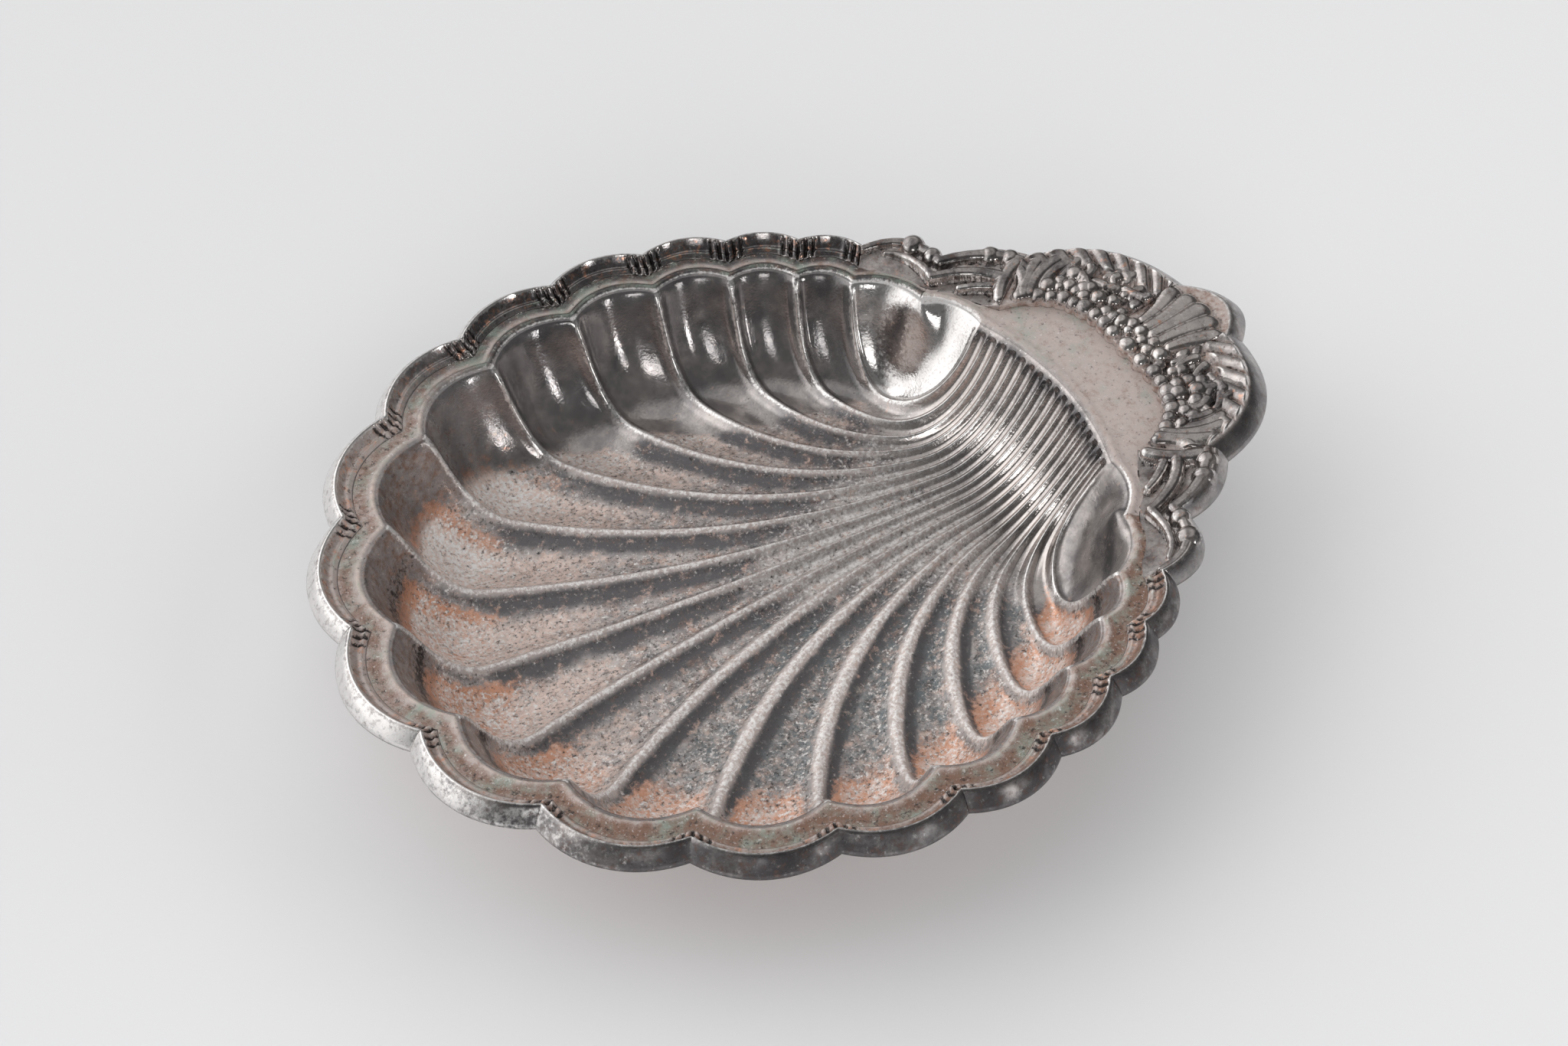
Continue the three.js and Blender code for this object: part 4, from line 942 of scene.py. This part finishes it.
class HandleMount:
    """A handle mount over its lobes, and the relief that is raised on it"""

    def __init__(self, plan, runs, height, skirt, toe, power):
        sizes = plan.sizes
        self.plan = plan
        self.inner = np.concatenate([plan.handle_toe(lobe, f) for lobe, f in runs])
        self.outer = np.concatenate([plan.handle_outline(lobe, f, 0) for lobe, f in runs])
        self.shape = (height, skirt, toe, power, sizes.handle_sheet_inset)
        steps = np.linalg.norm(np.diff(self.outer, axis=0), axis=1)
        self.along = np.concatenate(([0], np.cumsum(steps)))[:, None]
        self.raised = []

    def spot(self, lobe, f, from_toe):
        """Points at shares along a lobe and distances from its inner edge"""
        f = np.atleast_1d(f)
        toe = self.plan.handle_toe(lobe, f)
        return toe + unit(self.plan.handle_outline(lobe, f, 0) - toe) * np.atleast_1d(from_toe)[:, None]

    def from_edge(self, lobe, f, inset):
        """Points at shares along a lobe and distances from its outline"""
        f = np.atleast_1d(f)
        edge = self.plan.handle_outline(lobe, f, 0)
        return edge - unit(edge - self.plan.handle_toe(lobe, f)) * np.atleast_1d(inset)[:, None]

    def add_balls(self, lobe, rows):
        """Balls along the inner edge, which swells out round each of them"""
        outward = unit(self.outer - self.inner)
        swell = np.zeros(len(self.inner))
        for f, from_toe, radius, seat in rows:
            place = self.spot(lobe, f, from_toe * MM)[0]
            self.raised.append((ball_height, (place, radius * MM, seat * MM)))
            depth = np.sum((self.inner - place) * outward, axis=1)
            side = np.sqrt(np.maximum(np.sum((self.inner - place) ** 2, axis=1) - depth ** 2, 0))
            swell = np.maximum(swell, np.sqrt(np.maximum((radius * MM) ** 2 - side ** 2, 0)) - from_toe * MM)
        self.inner = self.inner - outward * swell[:, None]

    def add_grapes(self, lobe, rows, seed):
        """Grapes of uneven size, a little out of their rows"""
        shake = np.random.default_rng(seed)
        for from_toe, first, last, count, radius in rows:
            for f in np.linspace(first, last, count):
                place = self.spot(lobe, f, from_toe * MM)[0] + shake.uniform(-1, 1, 2) * MM
                size = radius * shake.uniform(0.7, 1.35) * MM
                self.raised.append((ball_height, (place, size, (GRAPE_SEAT + shake.uniform(-0.4, 0.6)) * MM)))

    def add_tendrils(self, lobe, count, seed):
        """Short curled stems at random among the grapes and up to the outer lobes"""
        shake = np.random.default_rng(seed)
        chord = np.linalg.norm(self.outer[-1] - self.outer[0]) / MM
        for _ in range(count):
            share, reach = shake.uniform(0.34, 0.98), shake.uniform(8, 17)
            turn, length = shake.uniform(0, math.pi), shake.uniform(3, 7)
            along, outward = 0.5 * length * math.cos(turn) / chord, 0.5 * length * math.sin(turn)
            top = shake.uniform(3.8, 4.9)
            start, end = (share - along, reach - outward), (share + along, reach + outward)
            stem = (start, end, (1, 1.7), (top - 0.5, top), shake.uniform(-0.05, 0.05))
            self.add_fingers(lobe, [stem], self.spot)

    def add_fingers(self, lobe, rows, place):
        """Fingers along a lobe, measured from its inner edge or outline by the method given as place"""
        t = np.linspace(0, 1, FINGER_STEPS)
        for start, end, widths, tops, bow in rows:
            f = start[0] + (end[0] - start[0]) * t + bow * arch(t)
            reach = (start[1] + (end[1] - start[1]) * t) * MM
            span = [(pair[0] + (pair[1] - pair[0]) * t) * MM for pair in (widths, tops)]
            self.raised.append((finger_height, (place(lobe, f, reach), *span)))

    def add_knobs(self, rows):
        for lobe, f, inset, radius, seat in rows:
            place = self.from_edge(lobe, f, inset * MM)[0]
            self.raised.append((ball_height, (place, radius * MM, seat * MM)))

    def mesh(self, gadroon, crusted, tone, mirror):
        """Mesh with its relief, slanting lobes round its edge if asked, and so much crust and dark tone"""
        sizes = self.plan.sizes
        section = MountSection(self.plan, self.inner, self.outer, self.shape, HANDLE_COVE_ROWS)
        points = section.plan_points()[:, section.top]
        body = section.up[:, section.top]
        relief = body.copy()
        if gadroon:
            from_crest = (section.crest - section.across)[:, section.top]
            turn = (self.along - 1.2 * from_crest) / sizes.gadroon
            swell = np.sqrt(np.maximum(1 - (2 * (turn % 1) - 1) ** 2, 0))
            band = (ease(from_crest, -0.6 * MM, 0.8 * MM)
                    * ease(-from_crest, -sizes.gadroon_band, -0.75 * sizes.gadroon_band))
            relief = relief + (2.2 * swell - 0.6) * MM * band
        for height, numbers in self.raised:
            relief = np.maximum(relief, height(points[..., 0], points[..., 1], *numbers))
        raised = np.zeros_like(section.up)
        raised[:, section.top] = relief - body
        proud = np.zeros_like(section.up)
        proud[:, section.top] = relief - blurred(relief, CAVITY_STEPS)
        cavity = ease(-proud, 0.06 * MM, 0.4 * MM)
        rubbed = ease(proud, 0.1 * MM, 0.5 * MM)
        section.up[:, section.top] = relief
        inside = ease(section.crest - section.across, -1 * MM, 1 * MM)
        crevice = crusted * inside * (1 - ease(raised, 0.35 * MM, 1.1 * MM))
        skirt = ease(section.across - section.crest, 0.3 * MM, 1.5 * MM)
        return section.mesh({
            "tarnish": 0.2 + 0.5 * skirt,
            "dark": tone * inside + 0.2 * skirt,
            "crust": 0.9 * crevice * (1 - 0.4 * cavity),
            "umber": 0.25 * crevice + 0.12,
            "copper": 0.16 * inside,
            "black": 0.12 + 0.34 * cavity * inside,
            "bright": 0.2 * (1 - skirt) * (1 - tone) + 0.5 * rubbed * (1 - 0.5 * tone),
            "dry": 0.7 * crevice,
            "dull": 0.14 + 0.3 * crevice + 0.12 * skirt,
        }, mirror)


class SHELLDISH_OT_scrolls(bpy.types.Operator):
    """Cast the pair of scrolls beside the handle"""
    bl_idname = "shelldish.scrolls"
    bl_label = "Scrolls"

    def execute(self, context):
        settings = shell_settings(context)
        sizes = settings.sizes
        plan = ShellPlan(sizes)
        material = cast_mount(settings.finish)
        steps = np.linspace(0, 1, SCROLL_STEPS)
        runs = [(SCROLL, steps), (VOLUTE, steps[1:])]
        share = np.concatenate((steps, 1 + steps[1:]))
        toe = sizes.handle_toe * ease(share, 1.75, 2)
        curve = RIM_CURVE + (HANDLE_CURVE - RIM_CURVE) * ease(share, 0, 0.6)
        for side, mirror in (("left", False), ("right", True)):
            mount = HandleMount(plan, runs, sizes.rim_height, sizes.rim_skirt, toe, curve)
            for lobe, *ridge in SCROLL_RIDGES:
                mount.add_fingers(lobe, [ridge], mount.from_edge)
            mount.add_knobs(SCROLL_KNOBS)
            bm = mount.mesh(gadroon=False, crusted=0.3, tone=0.45, mirror=mirror)
            make_piece("volutes_" + side, bm, material, "cast_mount", "scroll_" + side)
        return {"FINISHED"}


class SHELLDISH_OT_vines(bpy.types.Operator):
    """Cast the pair of grape and leaf mounts on the handle"""
    bl_idname = "shelldish.vines"
    bl_label = "Grape and Leaf Mounts"

    def execute(self, context):
        settings = shell_settings(context)
        sizes = settings.sizes
        plan = ShellPlan(sizes)
        material = cast_mount(settings.finish)
        runs = [(LEAF, np.linspace(0, 1, LEAF_STEPS))]
        for side, mirror in (("left", False), ("right", True)):
            mount = HandleMount(plan, runs, sizes.handle_height, sizes.handle_skirt, sizes.handle_toe,
                                HANDLE_CURVE)
            mount.add_balls(LEAF, LEAF_BALLS)
            mount.add_grapes(LEAF, LEAF_GRAPES, GRAPE_SEED + mirror)
            mount.add_fingers(LEAF, LEAF_FINGERS, mount.spot)
            mount.add_tendrils(LEAF, TENDRIL_COUNT, GRAPE_SEED + mirror)
            bm = mount.mesh(gadroon=True, crusted=1, tone=0.42, mirror=mirror)
            make_piece("grapes_" + side, bm, material, "cast_mount", "vine_" + side)
        return {"FINISHED"}


class SHELLDISH_OT_centre(bpy.types.Operator):
    """Cast the leaf at the tip of the handle"""
    bl_idname = "shelldish.centre"
    bl_label = "Centre Leaf"

    def execute(self, context):
        settings = shell_settings(context)
        sizes = settings.sizes
        runs = [(CENTRE, np.linspace(0, 1, CENTRE_STEPS))]
        mount = HandleMount(ShellPlan(sizes), runs, sizes.handle_height, sizes.handle_skirt, sizes.handle_toe,
                            HANDLE_CURVE)
        mount.add_balls(CENTRE, CENTRE_BALLS)
        mount.add_grapes(CENTRE, CENTRE_GRAPES, GRAPE_SEED)
        mount.add_fingers(CENTRE, CENTRE_FINGERS, mount.spot)
        bm = mount.mesh(gadroon=False, crusted=1, tone=0.2, mirror=False)
        make_piece("tip_leaf", bm, cast_mount(settings.finish), "cast_mount", "centre_leaf")
        return {"FINISHED"}


# Profile of a ball foot: shares of its radius and height
FOOT_PROFILE = [(0, 0), (0.4, 0), (0.62, 0.07), (0.86, 0.2), (1, 0.4), (0.9, 0.6), (0.66, 0.71), (0.6, 0.74),
                (0.72, 0.78), (0.72, 0.83), (0.6, 0.86), (0.62, 1), (0, 1)]
FOOT_STEPS = 40
FOOT_MARKS = {"tarnish": 0.6, "black": 0.22, "dull": 0.28}
# Share of the height above which a foot is fitted to the bowl
FOOT_FITTED_SHARE = 0.95


class SHELLDISH_OT_feet(bpy.types.Operator):
    """Turn the three ball feet and fit their necks to the bowl"""
    bl_idname = "shelldish.feet"
    bl_label = "Ball Feet"

    def execute(self, context):
        settings = shell_settings(context)
        material = turned_foot(settings.finish)
        bowl = bpy.data.objects.get("bowl_sheet")
        if bowl is None:
            raise RuntimeError("The bowl comes before its feet")
        underside = BVHTree.FromObject(bowl, context.evaluated_depsgraph_get())
        for node in ("foot_front", "foot_left", "foot_right"):
            low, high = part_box(node)
            centre = (low + high) / 2
            radius = (high.x - low.x) / 2
            height = high.z - low.z
            bm = bmesh.new()
            verts = [bm.verts.new((across * radius, 0, up * height)) for across, up in FOOT_PROFILE]
            edges = [bm.edges.new(pair) for pair in zip(verts, verts[1:])]
            bmesh.ops.spin(bm, geom=verts + edges, cent=(0, 0, 0), axis=(0, 0, 1), angle=math.tau,
                           steps=FOOT_STEPS, use_merge=True)
            bmesh.ops.translate(bm, verts=bm.verts, vec=(centre.x, centre.y, low.z))
            bmesh.ops.remove_doubles(bm, verts=bm.verts, dist=MERGE_DISTANCE)
            layers = {name: bm.verts.layers.float.new(name) for name in FOOT_MARKS}
            for vertex in bm.verts:
                for name, layer in layers.items():
                    vertex[layer] = FOOT_MARKS[name]
                if vertex.co.z > low.z + FOOT_FITTED_SHARE * height:
                    hit = underside.ray_cast(Vector((vertex.co.x, vertex.co.y, low.z)), Vector((0, 0, 1)))[0]
                    vertex.co.z = hit.z + settings.sizes.sheet / 3
            bmesh.ops.recalc_face_normals(bm, faces=bm.faces)
            make_piece(node.replace("foot", "ball_foot"), bm, material, "turned_foot", node)
        return {"FINISHED"}


# Softboxes, in metres: place, size, the power that each takes and its share of it
SOFTBOXES = {
    "overhead softbox": ((-0.2, 0.2, 1.4), (1.6, 1.6), "overhead", 1),
    "left fill": ((-1.3, 0.75, 0.75), (1.3, 1.3), "fill", 0.7),
    "back fill": ((0.75, 1.3, 0.75), (1.3, 1.3), "fill", 0.8),
    "right fill": ((1.3, -0.75, 0.75), (1.3, 1.3), "fill", 1.3),
    "near fill": ((-0.75, -1.3, 0.75), (1.3, 1.3), "fill", 1.7),
    "strip light": ((0.375, -1.4, 0.39), (0.12, 0.34), "strip", 1),
    "front softbox": ((-0.75, -1.18, 0.63), (0.5, 0.3), "front", 1),
}
# Powers whose softboxes are mirrored in the metal
MIRRORED_POWERS = ("strip", "front")
# Even light of the studio, and its glows: direction, cosines at which each sets in and is full, and strength
STUDIO_LEVEL = 0.12
STUDIO_GLOWS = (((-0.72, 0.68, 0.15), 0.35, 0.9, 1.25), ((0, 0.5, 0.87), 0.5, 0.8, 0.42))
# Half the side of the paper floor in metres, squares along its side, and the camera's sensor in mm
FLOOR_HALF_SIZE = 4
FLOOR_SQUARES = 8
SENSOR_WIDTH = 36
NEAREST_SEEN = 10 * MM


class SHELLDISH_OT_stage(bpy.types.Operator):
    """Lay the paper floor, hang the lights and set up the camera"""
    bl_idname = "shelldish.stage"
    bl_label = "Stage"

    def execute(self, context):
        settings = shell_settings(context)
        stage = settings.stage
        scene = context.scene
        self.lay_floor(scene, settings.finish)
        for name, (place, size, power, share) in SOFTBOXES.items():
            lamp = self.hang_light(scene, name, place, size, share * getattr(stage, power))
            lamp.visible_glossy = power in MIRRORED_POWERS
        self.light_world(scene)
        self.place_camera(scene, stage)
        scene.view_settings.view_transform = "Standard"
        return {"FINISHED"}

    def lay_floor(self, scene, finish):
        bm = bmesh.new()
        bmesh.ops.create_grid(bm, x_segments=FLOOR_SQUARES, y_segments=FLOOR_SQUARES, size=FLOOR_HALF_SIZE)
        mesh = bpy.data.meshes.new("paper_floor")
        bm.to_mesh(mesh)
        bm.free()
        mesh.materials.append(paper_floor(finish))
        floor = bpy.data.objects.new("paper_floor", mesh)
        scene.collection.objects.link(floor)

    def hang_light(self, scene, name, place, size, power):
        """A softbox that faces the dish"""
        light = bpy.data.lights.new(name, "AREA")
        light.shape = "RECTANGLE"
        light.size, light.size_y = size
        light.energy = power
        lamp = bpy.data.objects.new(name, light)
        lamp.location = place
        lamp.rotation_euler = (-Vector(place)).to_track_quat("-Z", "Y").to_euler()
        scene.collection.objects.link(lamp)
        return lamp

    def light_world(self, scene):
        """A dim studio with a large window on the left and a paler ceiling at the back"""
        world = bpy.data.worlds.new("studio")
        scene.world = world
        world.use_nodes = True
        tree = world.node_tree
        direction = add_node(tree, "ShaderNodeTexCoord").outputs["Generated"]
        level = STUDIO_LEVEL
        for towards, low, high, strength in STUDIO_GLOWS:
            facing = add_node(tree, "ShaderNodeVectorMath", (direction, towards), operation="DOT_PRODUCT")
            glow = add_node(tree, "ShaderNodeMapRange", (facing.outputs["Value"], low, high, 0, strength),
                            interpolation_type="SMOOTHSTEP")
            level = add_node(tree, "ShaderNodeMath", (level, glow), operation="ADD")
        tree.links.new(level.outputs["Value"], tree.nodes["Background"].inputs["Strength"])
        tree.nodes["Background"].inputs["Color"].default_value = (1, 1, 1, 1)

    def place_camera(self, scene, stage):
        """Camera round the point it looks at, leaning by its roll"""
        back = Vector((math.sin(stage.azimuth) * math.cos(stage.elevation),
                       -math.cos(stage.azimuth) * math.cos(stage.elevation), math.sin(stage.elevation)))
        right = Vector((math.cos(stage.azimuth), math.sin(stage.azimuth), 0))
        upright = back.cross(right)
        leaning_right = math.cos(stage.roll) * right + math.sin(stage.roll) * upright
        leaning_up = math.cos(stage.roll) * upright - math.sin(stage.roll) * right
        data = bpy.data.cameras.new("camera")
        data.lens = stage.lens
        data.sensor_width = SENSOR_WIDTH
        data.clip_start = NEAREST_SEEN
        camera = bpy.data.objects.new("camera", data)
        turn = Matrix((leaning_right, leaning_up, back)).transposed()
        camera.matrix_world = Matrix.Translation(Vector(stage.aim) + back * stage.distance) @ turn.to_4x4()
        scene.collection.objects.link(camera)
        scene.camera = camera


OPERATORS = (SHELLDISH_OT_bowl, SHELLDISH_OT_rim, SHELLDISH_OT_scrolls, SHELLDISH_OT_vines,
             SHELLDISH_OT_centre, SHELLDISH_OT_feet, SHELLDISH_OT_stage)


class SHELLDISH_PT_panel(bpy.types.Panel):
    """Buttons and settings of the shell dish"""
    bl_idname = "SHELLDISH_PT_panel"
    bl_label = "Shell Dish"
    bl_space_type = "VIEW_3D"
    bl_region_type = "UI"
    bl_category = "Shell Dish"

    def draw(self, context):
        settings = shell_settings(context)
        for group in (settings.sizes, settings.finish, settings.stage):
            box = self.layout.box()
            for name in group.__annotations__:
                box.prop(group, name)
        for operator in OPERATORS:
            self.layout.operator(operator.bl_idname)


CLASSES = (ShellDishSizes, ShellDishFinish, ShellDishStage, ShellDish, *OPERATORS, SHELLDISH_PT_panel)


def register():
    for cls in CLASSES:
        bpy.utils.register_class(cls)
    bpy.types.Scene.shell_dish = PointerProperty(type=ShellDish)


def unregister():
    del bpy.types.Scene.shell_dish
    for cls in reversed(CLASSES):
        bpy.utils.unregister_class(cls)


def main():
    register()
    bpy.ops.shelldish.stage()
    bpy.ops.shelldish.bowl()
    bpy.ops.shelldish.rim()
    bpy.ops.shelldish.scrolls()
    bpy.ops.shelldish.vines()
    bpy.ops.shelldish.centre()
    bpy.ops.shelldish.feet()


if __name__ == "__main__":
    main()
